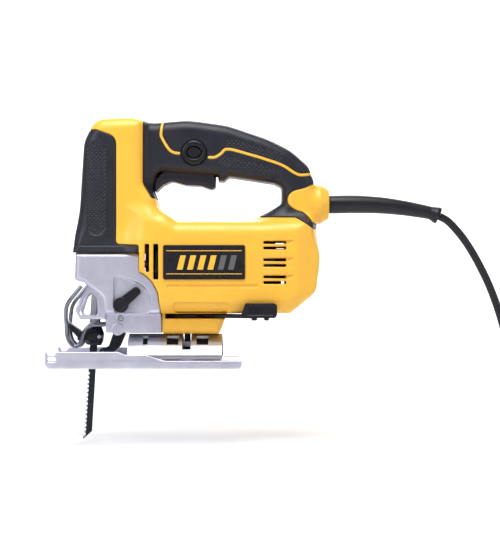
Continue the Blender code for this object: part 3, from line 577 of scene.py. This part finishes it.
def coil_tie():
    """A flat strap round the turns, in the middle of their width and height."""
    count = 64
    turn = math.radians(200)
    out = Vector((math.cos(turn), math.sin(turn), 0))
    along = Vector((-math.sin(turn), math.cos(turn), 0))
    middle = Vector((COIL_CENTRE[0], COIL_CENTRE[1], FLOOR_Z)) + out * RINGS[1]
    points, faces = [], []
    for across, up in squarish(1, 1, 0.45, count):
        for wide, thick in ((-3.5, 0), (3.5, 0), (3.5, 0.7), (-3.5, 0.7)):
            rise = Vector((0, 0, LAYERS[1] + up * (10 + thick)))
            points.append((middle + out * across * (10.2 + thick) + rise + along * wide) * MM)
    for k in range(count):
        for c in range(4):
            here, there = 4 * k, 4 * ((k + 1) % count)
            d = (c + 1) % 4
            faces.append((here + c, there + c, there + d, here + d))
    strap = linked("coil_tie", faced_outwards("coil_tie", points, faces))
    return finished(bevelled(strap, 0.2), "black_plastic", "housing")


def cord_guard():
    """A tapering rubber sleeve with a collar at its end."""
    places = smooth_line(GUARD_ROUTE, 12)
    radii = np.interp(np.linspace(0, len(GUARD_RADII) - 1, len(places)), range(len(GUARD_RADII)), GUARD_RADII)
    rings = []
    for k, place in enumerate(places):
        ahead = (places[min(k + 1, len(places) - 1)] - places[max(k - 1, 0)]).normalized()
        side = Vector((0, 1, 0))
        up = ahead.cross(side)
        radius = radii[k] - (0.35 if k in (0, len(places) - 1) else 0)
        rings.append([place + (side * math.cos(a) + up * math.sin(a)) * radius
                      for a in np.linspace(0, math.tau, 40, endpoint=False)])
    finished(lofted("cord_guard_look", rings, 50), "cord_rubber", "housing", ["cord_guard"])


# ---------------------------------------------------------------- housing and grips

BODY_OUTLINE = [
    (-6, 44, 0), (121.5, 44, 4), (142.8, 61.5, 12), (145.8, 91, 30), (140.8, 108, 10), (140.4, 121, 4),
    (100, 118.9, 0), (30, 118.9, 4), (20.7, 125.1, 4), (9, 128, 3), (-6, 128, 0),
]
COLUMN_OUTLINE = [
    (-55.6, 80, 0), (12, 80, 0), (12, 139, 6), (2.6, 149, 8), (2.6, 201.4, 4), (-7, 203.9, 14),
    (-37.5, 202.4, 14), (-46.8, 184, 24), (-50.3, 128, 60), (-54, 108, 20),
]
HANDLE_OUTLINE = [
    (-22, 127, 0), (8.4, 127, 0), (9.2, 147, 4), (14, 159.6, 4), (61.5, 156.6, 0), (63, 152.4, 1),
    (67.5, 152.2, 1.5), (72, 156, 2), (108.5, 150.4, 4),
    (114.8, 147.5, 4), (114.8, 134, 5), (97, 122.2, 4),
    (84, 80, 0), (140, 80, 0), (141.4, 152, 6),
    (137, 164.5, 12), (122, 178, 40), (103, 187.3, 60), (70, 198.4, 60), (38, 202.7, 60),
    (12, 200.4, 20), (-22, 201.4, 0),
]
FOOT_OUTLINE = [(17, 27.3, 2), (63.8, 27.3, 3), (73.5, 53, 3), (73.5, 62, 0), (17, 62, 0)]
CASE_OUTLINE = [
    (-29.7, 43.6, 2), (20, 43.6, 0), (20, 93.2, 0), (-52.6, 93.2, 1), (-53.2, 70.9, 2),
    (-46.2, 69.4, 3), (-31, 57.5, 5),
]
NOSE_OUTLINE = [
    (-50.4, 39.1, 2), (-29, 39.1, 0), (-29, 74, 0), (-36, 70, 0), (-44.8, 65.5, 3), (-49.2, 57.5, 6),
    (-54.4, 47, 4),
]
WINDOW_OUTLINE = [(-51.6, 42.4, 2), (-35.4, 42.4, 2), (-36.4, 57, 4), (-41.6, 62.4, 4), (-47.4, 56, 4)]
CASE_LINE = [(-0.8, 93.4), (-0.8, 78), (4, 75.2), (10, 69.6), (14.5, 60.7), (16, 48), (17, 20)]
FRONT_GRIP_OUTLINE = [
    (-70, 93.1, 0), (-0.8, 93.1, 0), (-0.8, 99.6, 2), (-19.6, 100.4, 3), (-19.6, 187.5, 9), (-36, 193.4, 0),
    (-70, 193.4, 0),
]
HANDLE_GRIP_OUTLINE = [
    (97, 122.35, 0), (126, 122, 5), (139.5, 113, 0), (160, 113, 0), (160, 215, 0), (1.6, 215, 0),
    (1.4, 150, 8), (8.6, 137.6, 3), (20, 137.6, 0), (88, 137, 0),
]
# The yellow lines let into the handle grip, as (x, z)
FRONT_STRIPE = [(17.3, 201.5), (16.1, 191.3), (16.9, 187.2), (21.8, 179), (25.9, 175.6), (30.8, 174.7)]
REAR_STRIPE = [(55.3, 171.4), (60.2, 171.6), (65.1, 174.5), (70.8, 178.2), (88.8, 173.7), (103.5, 169.2),
               (115.8, 164.7), (125.5, 158.6), (131.3, 157), (142, 158.6)]
GLAND_LINE = [(139.5, 149.3), (133.8, 146.4), (124.8, 144), (120.7, 140.7), (119.5, 135.8), (121.5, 131.7),
              (127.2, 128), (132.1, 126.4), (137, 121.9), (139.5, 117.8)]
VENT_PAIRS = (95.8, 81.8, 68.0)


def whole_form(grid):
    """The outside of the housing and its grips."""
    across = grid.across
    fade = ((22 - grid.x) / 28).clip(0, 1) * ((grid.z - 104) / 18).clip(0, 1)
    body = moulded(side_view(grid, BODY_OUTLINE), across + 4 * fade, BODY_HALF, 12)
    facet = (grid.x - 127) * math.sin(0.42) + (across - BODY_HALF) * math.cos(0.42)
    body = overlap(body, facet, 0.6)
    flare = ((115 - grid.z) / 21).clip(0, 1) ** 1.5
    column = moulded(side_view(grid, COLUMN_OUTLINE), across - 3.2 * flare, COLUMN_HALF, 10 - 6 * flare)
    handle = moulded(side_view(grid, HANDLE_OUTLINE), across, HANDLE_HALF, 9)
    return blended(blended(column, handle, 6), body, 12), body


def boss_form(grid):
    """The round boss at the rear where the lead goes in."""
    along = grid.x - 154
    radius = np.interp(along, (-36, -33, -27, -14, -7, -1, 0), (6, 10.5, 14, 16, 16.3, 12.9, 12.3))
    spread = np.hypot(grid.y, grid.z - LEAD_Z)
    return overlap(spread - radius.astype(np.float32), np.abs(along + 18) - 18, 0.8)


def gland_patch(grid):
    """The drop-shaped patch on each side of the handle where the yellow boss shows."""
    outline = smooth_line(GLAND_LINE, 3) + [Vector((156, 116)), Vector((156, 151))]
    return flat_distance(grid.x, grid.z, outline)


def case_side(grid):
    """The gear case's side of the line between it and the housing."""
    corners = [*CASE_LINE, (-80, 20), (-80, CASE_LINE[0][1])]
    return flat_distance(grid.x, grid.z, [Vector(c) for c in reversed(corners)])


def vents(grid):
    """Flat distance from the air slots."""
    slots = [side_slot(grid, (4.1, 77.7), (7.7, 100.2), 0.4), side_slot(grid, (11, 71.6), (15, 100.2), 0.4)]
    for z in VENT_PAIRS:
        slots += [side_slot(grid, (99.7, z + rise), (117.8, z + rise + 2.3), 0.4) for rise in (0, 4.5)]
    return np.minimum.reduce(slots)


def vent_hollows(grid):
    """Shallow hollows that lead into the rear slots, deeper towards their ends."""
    hollows = []
    for z in VENT_PAIRS:
        flat = side_view(grid, [(99, z - 0.4, 0), (118, z - 0.4, 0), (118.6, z + 3.4, 1), (125, z + 7.4, 0.5),
                                (99, z + 7.4, 0)])
        floor_y = BODY_HALF - 0.3 - (grid.x - 99).clip(0, 20) * 0.06
        hollows.append(overlap(flat, floor_y - grid.across, 0.4))
    return np.minimum.reduce(hollows)


def dimples(grid, pitch):
    """Rows of round bumps in the side view, from 0 to 1."""
    return (np.cos(grid.x * (math.tau / pitch)) * np.cos(grid.z * (math.tau / pitch))).clip(0, 1)


def trigger_pocket(grid):
    """The room in the handle that the trigger moves in."""
    return box(grid, (7.6, -10.9, 140.6), (62.6, 10.9, 169), 0.3)


def lever_room(grid, y):
    """The room in the foot that the bevel lever's arm sweeps through."""
    corners = [Vector(c) for c in ((19.5, -40), (85, -40), (85, -22.6), (37, 5.1), (19.5, 4))]
    return overlap(flat_distance(grid.x, y, corners), np.abs(grid.z - 41.8) - 2)


def housing():
    """Two moulded shells, with everything that is cut out of them or let into them."""
    grid = Grid((-59, -1.4, 24), (158, 36, 207), 0.62)
    across = grid.across
    whole, body = whole_form(grid)
    foot = overlap(moulded(side_view(grid, FOOT_OUTLINE), across, 20.5, 5), across - 20.5)
    foot = without(foot, rod(grid, BOLT_AXIS, "z", 17.6, 39.8, 43.8), 0.4)
    grips = np.minimum(side_view(grid, FRONT_GRIP_OUTLINE), side_view(grid, HANDLE_GRIP_OUTLINE))
    core = whole + (SKIN + GAP)
    shell = without(np.minimum(whole, foot), grips, 0.5)
    panel = side_slot(grid, (27, 44.6), (72, 53), 3)
    shell = without(shell, overlap(panel, -(whole + 1.3), 0.3), 0.4)
    crease = side_slot(grid, (22, 65.2), (95, 67.4), 1)
    shell = without(shell, overlap(crease, -(whole + 1.2), 0.3), 0.5)
    shell = without(shell, vent_hollows(grid), 0.5)
    gland = overlap(whole - 0.3, gland_patch(grid), 1)
    shell = np.minimum(np.minimum(shell, core), blended(boss_form(grid), gland, 4))
    shell = without(shell, case_side(grid) - GAP, 0.5)
    cavity = np.minimum(whole + (SKIN + GAP + WALL), body + WALL)
    shell = without(shell, cavity)
    shell = without(shell, rod(grid, (0, LEAD_Z), "x", 4, 128, 160))
    for x, z, _, reach in SCREWS:
        shell = np.minimum(shell, rod(grid, (x, z), "y", 4.5, -reach, reach))
    shell = without(shell, overlap(vents(grid), 20 - across), 0.5)
    shell = without(shell, trigger_pocket(grid), 0.4)
    shell = overlap(shell, SEAM - grid.y, 0.35)

    left = without(shell, lever_room(grid, -grid.y), 0.4)
    for radius, depth in ((10.4, 12), (6.2, 8)):
        left = without(left, rod(grid, BUTTON_AXIS, "y", radius, depth, 40))
    right = without(shell, lever_room(grid, grid.y), 0.4)
    for x, z, head, _ in SCREWS:
        right = without(right, rod(grid, (x, z), "y", 4, head, 40), 0.4)
    both_sides("housing", grid, left, right, "yellow_plastic", "housing")


def front_grip():
    """A rubber skin with a sunken panel of dimples in its side and a shallow groove round its flared foot."""
    grid = Grid((-59, -1.2, 92), (1, 32, 206), 0.42)
    whole, _ = whole_form(grid)
    grip = overlap(whole, side_view(grid, FRONT_GRIP_OUTLINE) + GAP, 0.7)
    panel = side_slot(grid, (-43, 107), (-28, 184), 7)
    rim = np.abs(panel) - 0.7
    side_on = (grid.across - 15).clip(0, 4) / 4
    sunk = (0.5 - panel / 1.2).clip(0, 1) * (0.3 + 0.8 * dimples(grid, 3.4)) * side_on
    raised = (0.5 - rim / 1.2).clip(0, 1) * 0.35 * side_on
    groove = 0.4 * (1 - np.abs(grid.z - 99) / 0.9).clip(0, 1)
    grip = grip + sunk - raised + groove
    grip = without(grip, whole + SKIN, 0.2)
    grip = overlap(grip, SEAM - grid.y, 0.35)
    both_sides("front_grip", grid, grip, grip, "soft_grip", "housing")


def handle_grip():
    """The rubber skin of the handle, with yellow lines let into it and rows of dimples beside them."""
    grid = Grid((-1, -1.2, 110), (158, 36, 206), 0.5)
    whole, _ = whole_form(grid)
    grip = overlap(whole, side_view(grid, HANDLE_GRIP_OUTLINE) + GAP, 0.9)
    grip = without(grip, np.minimum(boss_form(grid), gland_patch(grid)) - 0.35, 0.5)
    stripes = np.minimum(line_distance(grid.x, grid.z, smooth_line(FRONT_STRIPE, 5)),
                         line_distance(grid.x, grid.z, smooth_line(REAR_STRIPE, 5)))
    side_on = (grid.across - 9).clip(0, 3) / 3
    rows = line_distance(grid.x, grid.z, [(72, 183.5), (92, 179), (112, 172)]) - 3
    rows = np.minimum(rows, line_distance(grid.x, grid.z, [(67, 168.5), (92, 163), (110, 157.5)]) - 4.4)
    dots = (0.5 - rows).clip(0, 1) * 0.9 * dimples(grid, 3.6)
    trim = overlap(stripes - 1.15, whole + 0.05, 0.3)
    trim = overlap(without(trim, whole + 1.6), 8 - grid.across)
    grip = grip + dots * side_on
    grip = without(grip, overlap(stripes - 1.3, -(whole + 1.7)), 0.3)
    grip = without(grip, whole + SKIN, 0.2)
    grip = without(grip, trigger_pocket(grid), 0.4)
    grip = overlap(grip, SEAM - grid.y, 0.35)
    left = without(grip, rod(grid, BUTTON_AXIS, "y", 10.4, 5, 40), 0.3)
    x, z, head, _ = SCREWS[1]
    right = without(grip, rod(grid, (x, z), "y", 4.2, head - 3, 40), 0.4)
    both_sides("handle_grip", grid, left, right, "soft_grip", "housing")
    for side, mirrored in (("left", True), ("right", False)):
        piece = meshed(f"handle_trim_{side}", grid, trim, mirrored)
        finished(piece, "yellow_plastic", "housing")


def brush_bracket():
    """The black bracket that closes off the rear of the motor and holds its bearing on a leg."""
    grid = Grid((96, -31, MOTOR_Z - 31), (119, 31, MOTOR_Z + 31), 0.8)
    ring = rod(grid, (0, MOTOR_Z), "x", 29.6, 98, 109.5, 0.8)
    collar = rod(grid, (0, MOTOR_Z), "x", 12.5, 98, 117.5, 0.8)
    leg = box(grid, (105, -7, MOTOR_Z - 26), (114.5, 7, MOTOR_Z - 9), 0.8)
    ring = blended(ring, np.minimum(collar, leg), 2)
    ring = without(ring, rod(grid, (0, MOTOR_Z), "x", 8.3, 90, 120), 0.5)
    shown("brush_ring", grid, ring, "black_plastic", "housing")


# ---------------------------------------------------------------- gear case

# Raised pips round the selector, as (x, z): one, two and three
MARKS = [(-25.2, 52), (-25, 62), (-25, 65.4), (-18.6, 78.4), (-15.2, 78.4), (-11.8, 78.4)]


def gear_case():
    """The cast case with its nose, windows, lower block, selector recess and rooms for the drive."""
    grid = Grid((-57, -31, 25.5), (21, 31, 95.5), 0.6)
    across = grid.across
    case = moulded(side_view(grid, CASE_OUTLINE), across, CASE_HALF, 4)
    lower = moulded(side_view(grid, [(-29.7, 27.9, 1.5), (19, 27.9, 0), (19, 46, 0), (-29.7, 46, 0)]),
                    across, 14, 1.5)
    pivot = rod(grid, (-19.5, 30.8), "y", 5.2, -14.4, 14.4, 0.8)
    nose = moulded(side_view(grid, NOSE_OUTLINE), across, 18, 1.5)
    whole = blended(np.minimum(case, nose), np.minimum(lower, pivot), 1.5)
    whole = overlap(whole, case_side(grid), 0.4)
    recess = side_view(grid, [(-21.5, 73.8, 2), (-21.1, 54.9, 3), (-20.7, 44.4, 2), (7.1, 44.4, 2),
                              (8.6, 49.8, 4), (7.9, 58.7, 4), (4, 64.9, 3), (-1.4, 68.8, 4),
                              (-14.9, 73.8, 3)])
    whole = without(whole, overlap(recess, 26.3 - across, 0.4), 0.6)
    ledge = overlap(np.abs(grid.z - 43.9) - 0.45, 27.9 - across)
    whole = without(whole, ledge, 0.3)
    for x, z in MARKS:
        pip = overlap(np.hypot(grid.x - x, grid.z - z) - 0.9, across - 29.4, 0.3)
        whole = np.minimum(whole, without(pip, 26 - across))
    lean = grid.x - (CLAMP_AXIS[0] + (grid.z - CLAMP_AXIS[1]) * math.tan(TILT))
    rooms = [
        (side_view(grid, WINDOW_OUTLINE), 0.6),
        (box(grid, (-70, -10.7, 20), (-29.9, 10.7, 63.5)), 0.5),  # between the nose's cheeks
        (box(grid, (-46, -22.5, 76.2), (30, 22.5, 110)), 0),  # gear, crank and yoke
        (rod(grid, (0, MOTOR_Z), "x", 27.2, 2, 32), 0),  # motor
        (box(grid, (-35, -4.4, 20), (-11.2, 4.4, 47)), 0.3),  # pendulum arm
        (rod(grid, ARM_AXIS, "y", 2.3, -30, 30), 0),
        (overlap(np.hypot(lean, grid.y) - 7.3, 56 - grid.z), 0),  # plunger
        (rod(grid, SELECTOR_AXIS, "y", 3.3, -40, -23), 0),
    ]
    for room, edge in rooms:
        whole = without(whole, room, edge)
    shown("gear_case", grid, whole, "cast_alloy", "housing")


# ---------------------------------------------------------------- labels and screws

def badges():
    """Plain label plates with two lines and a generic row of shapes."""
    outline = rounded([(18.9, 71.6, 1.5), (84.8, 71.6, 1.5), (84.8, 99.3, 1.5), (18.9, 99.3, 1.5)])
    outer = BODY_HALF + 1.2
    for side, sign in (("left", -1), ("right", 1)):
        plate = slab(f"badge_{side}_look", outline, sign * (BODY_HALF + 0.1), sign * outer, 0.35)
        finished(plate, "label", "housing", [f"badge_{side}"])
        for k, (low, high) in enumerate((((21.5, 94.4), (82.2, 95.0)), ((21.5, 75.8), (82.2, 76.4)))):
            line = bar(f"badge_{side}_line_{k}", low, high, sign * (outer - 0.2), sign * (outer + 0.12))
            finished(line, "yellow_plastic", "housing")
        for k in range(6):
            x = 30 + 8.2 * k
            lozenge = [(x, 79.5), (x + 4.6, 79.5), (x + 7.4, 91), (x + 2.8, 91)]
            mark = slab(f"badge_{side}_mark_{k}", lozenge, sign * (outer - 0.2), sign * (outer + 0.12), 0.05)
            finished(mark, "yellow_plastic" if k < 4 else "core_steel", "housing")


def bar(name, low, high, y0, y1):
    """A thin bar between two corners of the side view."""
    return slab(name, [low, (high[0], low[1]), high, (low[0], high[1])], y0, y1, 0.05)


def screws():
    """Cross-headed screws in the right side."""
    for k, (x, z, head, _) in enumerate(SCREWS, 1):
        grid = Grid((x - 4.4, head - 3, z - 4.4), (x + 4.4, head + 4.2, z + 4.4), 0.28)
        spread = np.hypot(grid.x - x, grid.z - z)
        cap = overlap(spread - 3.4, np.abs(grid.y - head - 1.5) - 1.3, 0.8)
        cross = np.minimum(overlap(np.abs(grid.x - x) - 0.5, np.abs(grid.z - z) - 2.1),
                           overlap(np.abs(grid.z - z) - 0.5, np.abs(grid.x - x) - 2.1))
        cap = without(cap, overlap(cross, head + 1.4 - grid.y), 0.15)
        shank = overlap(spread - 1.6, np.abs(grid.y - head) - 2.4)
        shown(f"housing_screw_{k}", grid, np.minimum(cap, shank), "steel", "housing")


# ---------------------------------------------------------------- controls

TRIGGER_OUTLINE = [
    (9.4, 141.5, 1.5), (17, 149.2, 5), (24.5, 152.6, 7), (36, 149.3, 8), (48, 148.8, 8), (57.5, 145.7, 2),
    (60.6, 147.6, 1), (60.6, 158.6, 1), (44, 163.6, 6), (20, 163.6, 5), (10.4, 154, 4),
]


def trigger():
    """The trigger, with a sunken panel in each side and fine ribs where the finger pulls."""
    grid = Grid((7.5, -11.6, 140), (62, 11.6, 165), 0.42)
    flat = side_view(grid, TRIGGER_OUTLINE)
    whole = moulded(flat, grid.across, 10.4, 2.2)
    panel = overlap(flat + 2.6, 9.7 - grid.across, 0.2)
    whole = without(whole, overlap(panel, grid.z - 158.5), 0.3)
    ribs = np.cos(grid.x * (math.tau / 3.2)).clip(0.2, 1) * 0.35
    low_side = (1 - (grid.z - 150.5).clip(0, 1)) * (1 - (grid.across - 7).clip(0, 1))
    whole = whole + ribs * low_side
    shown("trigger", grid, whole, "soft_grip", "trigger")


def lock():
    """The lock-on button: an oval with upright ribs in a smooth round ring."""
    x, z = BUTTON_AXIS
    grid = Grid((x - 11.5, -20.4, z - 11.5), (x + 11.5, -11.8, z + 11.5), 0.34)
    spread = np.hypot(grid.x - x, grid.z - z)
    oval = np.hypot((grid.x - x) / 1.09, (grid.z - z) / 0.9) - 5.6
    ring = overlap(spread - 10.2, np.abs(grid.y + 16) - 3.3, 2.4)
    ring = without(ring, oval, 1.6)
    shown("lock_bezel", grid, ring, "black_plastic", "housing")
    button = overlap(oval + 0.45, np.abs(grid.y + 15.9) - 2.5, 0.7)
    ribs = np.cos((grid.x - x) * (math.tau / 2.2)).clip(0, 1) * 0.55
    button = button + ribs * (0.5 - (grid.y + 17.2)).clip(0, 1)
    shown("lock_button", grid, button, "black_plastic", "lock_button")


def selector():
    """The orbital-action knob and its pointer."""
    x, z = SELECTOR_AXIS
    face = -CASE_HALF
    grid = Grid((x - 8, face - 5.6, z - 8), (x + 20.5, face + 6, z + 18.5), 0.38)
    knob = rod(grid, (x, z), "y", 6.2, face - 4.5, face - 0.6, 0.7)
    dish = rod(grid, (x, z), "y", 3.6, face - 6, face - 4.0, 0.3)
    stem = rod(grid, (x, z), "y", 2.9, face - 2, face + 5.4)
    arm = side_view(grid, [(x - 4, z - 2.6, 0), (x + 2, z - 4, 0), (x + 17.4, z + 10.8, 2.6),
                           (x + 12.2, z + 15.4, 2.6), (x - 4, z + 3.4, 0)])
    pointer = overlap(arm, np.abs(grid.y - face + 2.3) - 1.7, 0.8)
    hollow = overlap(arm + 1.7, face - 3.4 - grid.y, 0.2)
    hollow = overlap(hollow, 7 - np.hypot(grid.x - x, grid.z - z), 0.3)
    whole = blended(without(knob, dish, 0.3), without(pointer, hollow, 0.2), 0.8)
    whole = np.minimum(whole, stem)
    shown("selector_knob", grid, whole, "black_plastic", "selector")


def bevel_lever():
    """The flat lever under the foot, with its knob on the left."""
    bolt_x, bolt_y = BOLT_AXIS
    grid = Grid((18, -43, 36.8), (113.5, 18.5, 55), 0.5)
    hub = rod(grid, (bolt_x, bolt_y), "z", 16.8, 40.1, 43.1, 0.4)
    turn = math.radians(-30)
    along = (grid.x - bolt_x) * math.cos(turn) + (grid.y - bolt_y) * math.sin(turn)
    aside = (grid.y - bolt_y) * math.cos(turn) - (grid.x - bolt_x) * math.sin(turn)
    arm = overlap(overlap(np.abs(along - 36) - 28, np.abs(aside) - 4, 1), np.abs(grid.z - 41.6) - 1.4, 0.4)
    rib = overlap(overlap(np.abs(along - 34) - 20, np.abs(aside) - 1), np.abs(grid.z - 43.2) - 0.5, 0.3)
    outline = [(80.8, 40.7, 1), (90, 40.7, 0), (90, 38.7, 0.5), (94.5, 38.7, 0.5), (94.5, 40.7, 0),
               (100, 40.7, 0), (100, 38.7, 0.5), (104, 38.7, 0.5), (104, 40.7, 0), (109, 40.7, 1),
               (110.5, 43, 1), (110.5, 51, 1.5), (108, 52.7, 1.5), (85, 52.7, 1.5)]
    flat = side_view(grid, outline)
    knob = overlap(flat, np.abs(grid.y + 37.3) - 3.1, 0.8)
    panel = side_view(grid, [(85.6, 43, 1), (107.6, 43, 1), (107.6, 50.2, 1), (88, 50.2, 1)])
    knob = without(knob, overlap(panel, grid.y + 39.4, 0.2), 0.3)
    link = overlap(box(grid, (84, -36, 40.7), (96, -28, 43.4), 0.4), along - 66)
    whole = blended(np.minimum(hub, np.minimum(arm, rib)), np.minimum(knob, link), 0.8)
    shown("bevel_lever", grid, whole, "black_plastic", "bevel_lever")


# ---------------------------------------------------------------- blade, clamp and guard wires

def leaning(along, forward=0.0, y=0.0):
    """A point of the plunger's line: `along` upwards from the clamp, `forward` towards the teeth."""
    x = CLAMP_AXIS[0] + along * math.sin(TILT) - forward * math.cos(TILT)
    z = CLAMP_AXIS[1] + along * math.cos(TILT) + forward * math.sin(TILT)
    return Vector((x, y, z))


TEETH_TOP = -31
TOOTH_PITCH = 3.6
TOOTH_COUNT = 15


def blade():
    """A wood blade with long teeth and hollow-ground flanks."""
    front = [(-29, 3.0)]
    for k in range(TOOTH_COUNT):
        top = TEETH_TOP - k * TOOTH_PITCH
        front += [(top, 3.2), (top - 0.5, 2.2), (top - 1.4, 1.8), (top - TOOTH_PITCH + 0.7, 3.6),
                  (top - TOOTH_PITCH + 0.3, 4.0)]
    back = [(-80, -3), (7, -3)]
    outline = [(-87, 3.8), *back, (7, 3), *front]
    halves = [0.25 if forward > 3.5 and along < -30 else 0.6 for along, forward in outline]
    rings = [[leaning(along, forward, side * half) for (along, forward), half in zip(outline, halves)]
             for side in (-1, 1)]
    finished(lofted("blade_look", rings, 20), "blade_steel", "plunger", ["blade"])


def tooth_faces():
    """The ground flanks of the teeth, which are bright."""
    points, faces = [], []
    for k in range(TOOTH_COUNT):
        top = TEETH_TOP - k * TOOTH_PITCH
        side = -1 if k % 2 else 1
        for sign in (side, -side):
            first = len(points)
            flank = [(top - 1.8, 1.9, 0.64), (top - TOOTH_PITCH + 0.5, 3.7, 0.36),
                     (top - TOOTH_PITCH - 0.1, 3.1, 0.62), (top - TOOTH_PITCH - 0.1, 2.3, 0.64)]
            for along, forward, thin in flank:
                points.append(leaning(along, forward, sign * thin) * MM)
            faces.append(list(range(first, first + 4)))
    mesh = bpy.data.meshes.new("blade_teeth")
    mesh.from_pydata(points, [], faces)
    finished(linked("blade_teeth", mesh), "steel", "plunger")


def guard_wires():
    """Two bent wires in front of the blade."""
    route = [(-48.4, 20.6, 66.4), (-52.5, 20.4, 61.4), (-58, 19.6, 54.5), (-61, 17.8, 49), (-61.9, 15, 42),
             (-61.9, 12, 35), (-61.7, 10.9, 27), (-60, 10.9, 21), (-57, 10.9, 17.6), (-54, 10.9, 16.6),
             (-51.6, 10.9, 18), (-49.4, 10.9, 22.5), (-47.6, 10.9, 27.4), (-45.6, 10.9, 31.4),
             (-42, 10.9, 33.8), (-37, 11.6, 34.4), (-30.4, 12, 34.4)]
    for name, side in (("wire_guard_left", -1), ("wire_guard_right", 1)):
        wire = tube(name + "_look", smooth_line([(x, side * y, z) for x, y, z in route], 6), 1.75)
        finished(wire, "bright_wire", "housing", [name])


def clamp_lever():
    """Two cheeks beside the clamp, joined in front of it, with a ribbed thumb tab."""
    x, z = LEVER_AXIS
    grid = Grid((x - 30, -9.6, z - 5), (x + 5, 9.6, z + 15), 0.36)
    cheek = side_view(grid, [(x - 18, z - 3, 1), (x, z - 3.4, 3), (x + 3.2, z, 3), (x, z + 3.4, 3),
                             (x - 18, z + 4.4, 1)])
    room = box(grid, (x - 14.3, -7.3, z - 20), (x + 20, 7.3, z + 20))
    cheeks = without(overlap(cheek, grid.across - 8.7, 0.6), room)
    tab = side_view(grid, [(x - 17.5, z - 1.5, 0), (x - 14.6, z, 0), (x - 14.6, z + 4.4, 0),
                           (x - 26.4, z + 12.8, 1.2), (x - 28, z + 10, 1)])
    tabs = overlap(tab, grid.across - 6.2, 0.6)
    ribs = np.cos((grid.z - grid.x) * (math.tau / 3)).clip(0, 1) * 0.4
    tabs = tabs + ribs * (x - 17.5 - grid.x).clip(0, 1)
    whole = np.minimum(cheeks, tabs)
    whole = without(whole, rod(grid, (x, z), "y", 1.65, -10, 10), 0.2)
    shown("clamp_lever", grid, whole, "black_plastic", "clamp_lever")


# ---------------------------------------------------------------- shoe

def shoe():
    """A cast shoe: a flat sole with a blade slot, raised rims, two cross ribs and round edges."""
    grid = Grid((-78, -39.2, -1), (84, 39.2, 15), 0.55)
    across = grid.across
    plan = top_view(grid, [(-75.9, -38, 5), (82.2, -38, 5), (82.2, 38, 5), (-75.9, 38, 5),
                           (-75.9, 24.5, 3), (-21, 24.5, 9), (-11.6, 15, 7), (-11.6, -15, 7),
                           (-21, -24.5, 9), (-75.9, -24.5, 3)])
    sole = overlap(plan, np.abs(grid.z - 3.2) - 3.2, 1)
    rim = side_view(grid, [(-76, 3.4, 1.5), (-72.8, 0, 1.5), (80.8, 0, 1.5), (82.3, 2, 1), (82.3, 6.4, 1),
                           (21, 6.4, 6), (5, 11.2, 6), (-11, 11.2, 3), (-17, 13.6, 3), (-66.4, 13.6, 1),
                           (-68.4, 11, 0.8), (-73.2, 11, 0.8), (-73.9, 13.8, 0.7), (-76, 13.8, 0.7)])
    rims = overlap(overlap(rim, 35 - across, 0.8), across - 38, 0.8)
    whole = blended(overlap(sole, rim, 0.5), rims, 1.2)
    hollow = top_view(grid, [(-9, -30, 4), (79, -30, 4), (79, 30, 4), (-9, 30, 4)])
    hollow = overlap(hollow, 5.4 - grid.z, 0.4)
    hollow = without(hollow, np.minimum(np.abs(grid.x + 0.5) - 2.2, np.abs(grid.x - 63.5) - 2.2), 0.5)
    whole = without(whole, hollow, 0.6)
    notch = overlap(side_slot(grid, (-73.4, 5.4), (-67, 9.2), 0.8), 34 - across)
    whole = without(whole, notch, 0.3)
    shown("shoe", grid, whole, "cast_alloy", "shoe")


# ---------------------------------------------------------------- everything else

PLAIN_NODES = {
    "bearing_plate": "cast_alloy", "front_bearing": "steel", "rear_bearing": "steel",
    "brush_left": "carbon", "brush_right": "carbon", "stator": "core_steel", "upper_bush": "brass",
    "lower_bush": "brass", "arm_pin": "steel", "clamp_plate": "steel", "switch_body": "black_plastic",
    "motor_shaft": "steel", "pinion": "steel", "fan": "black_plastic", "armature_core": "core_steel",
    "commutator": "copper", "crank_gear": "steel", "gear_shaft": "steel", "plunger": "steel", "yoke": "steel",
    "blade_clamp": "blade_steel", "clamp_pin": "steel", "pendulum_arm": "blade_steel", "roller_pin": "steel",
    "guide_roller": "steel", "saddle": "steel", "liner_front": "black_plastic", "liner_rear": "black_plastic",
    "clamp_bolt": "blade_steel",
}


def plain_nodes():
    """CAD pieces that are shown as they are, with broken edges and their own finish."""
    for name, slot in PLAIN_NODES.items():
        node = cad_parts[name]
        node.data.materials.clear()
        node.data.materials.append(MATERIALS[slot])
        bevelled(node, 0.3)


MATERIALS = make_materials()
studio()
floor()
lead()
cord_guard()
housing()
front_grip()
handle_grip()
brush_bracket()
gear_case()
badges()
screws()
trigger()
lock()
selector()
bevel_lever()
blade()
tooth_faces()
guard_wires()
clamp_lever()
shoe()
plain_nodes()
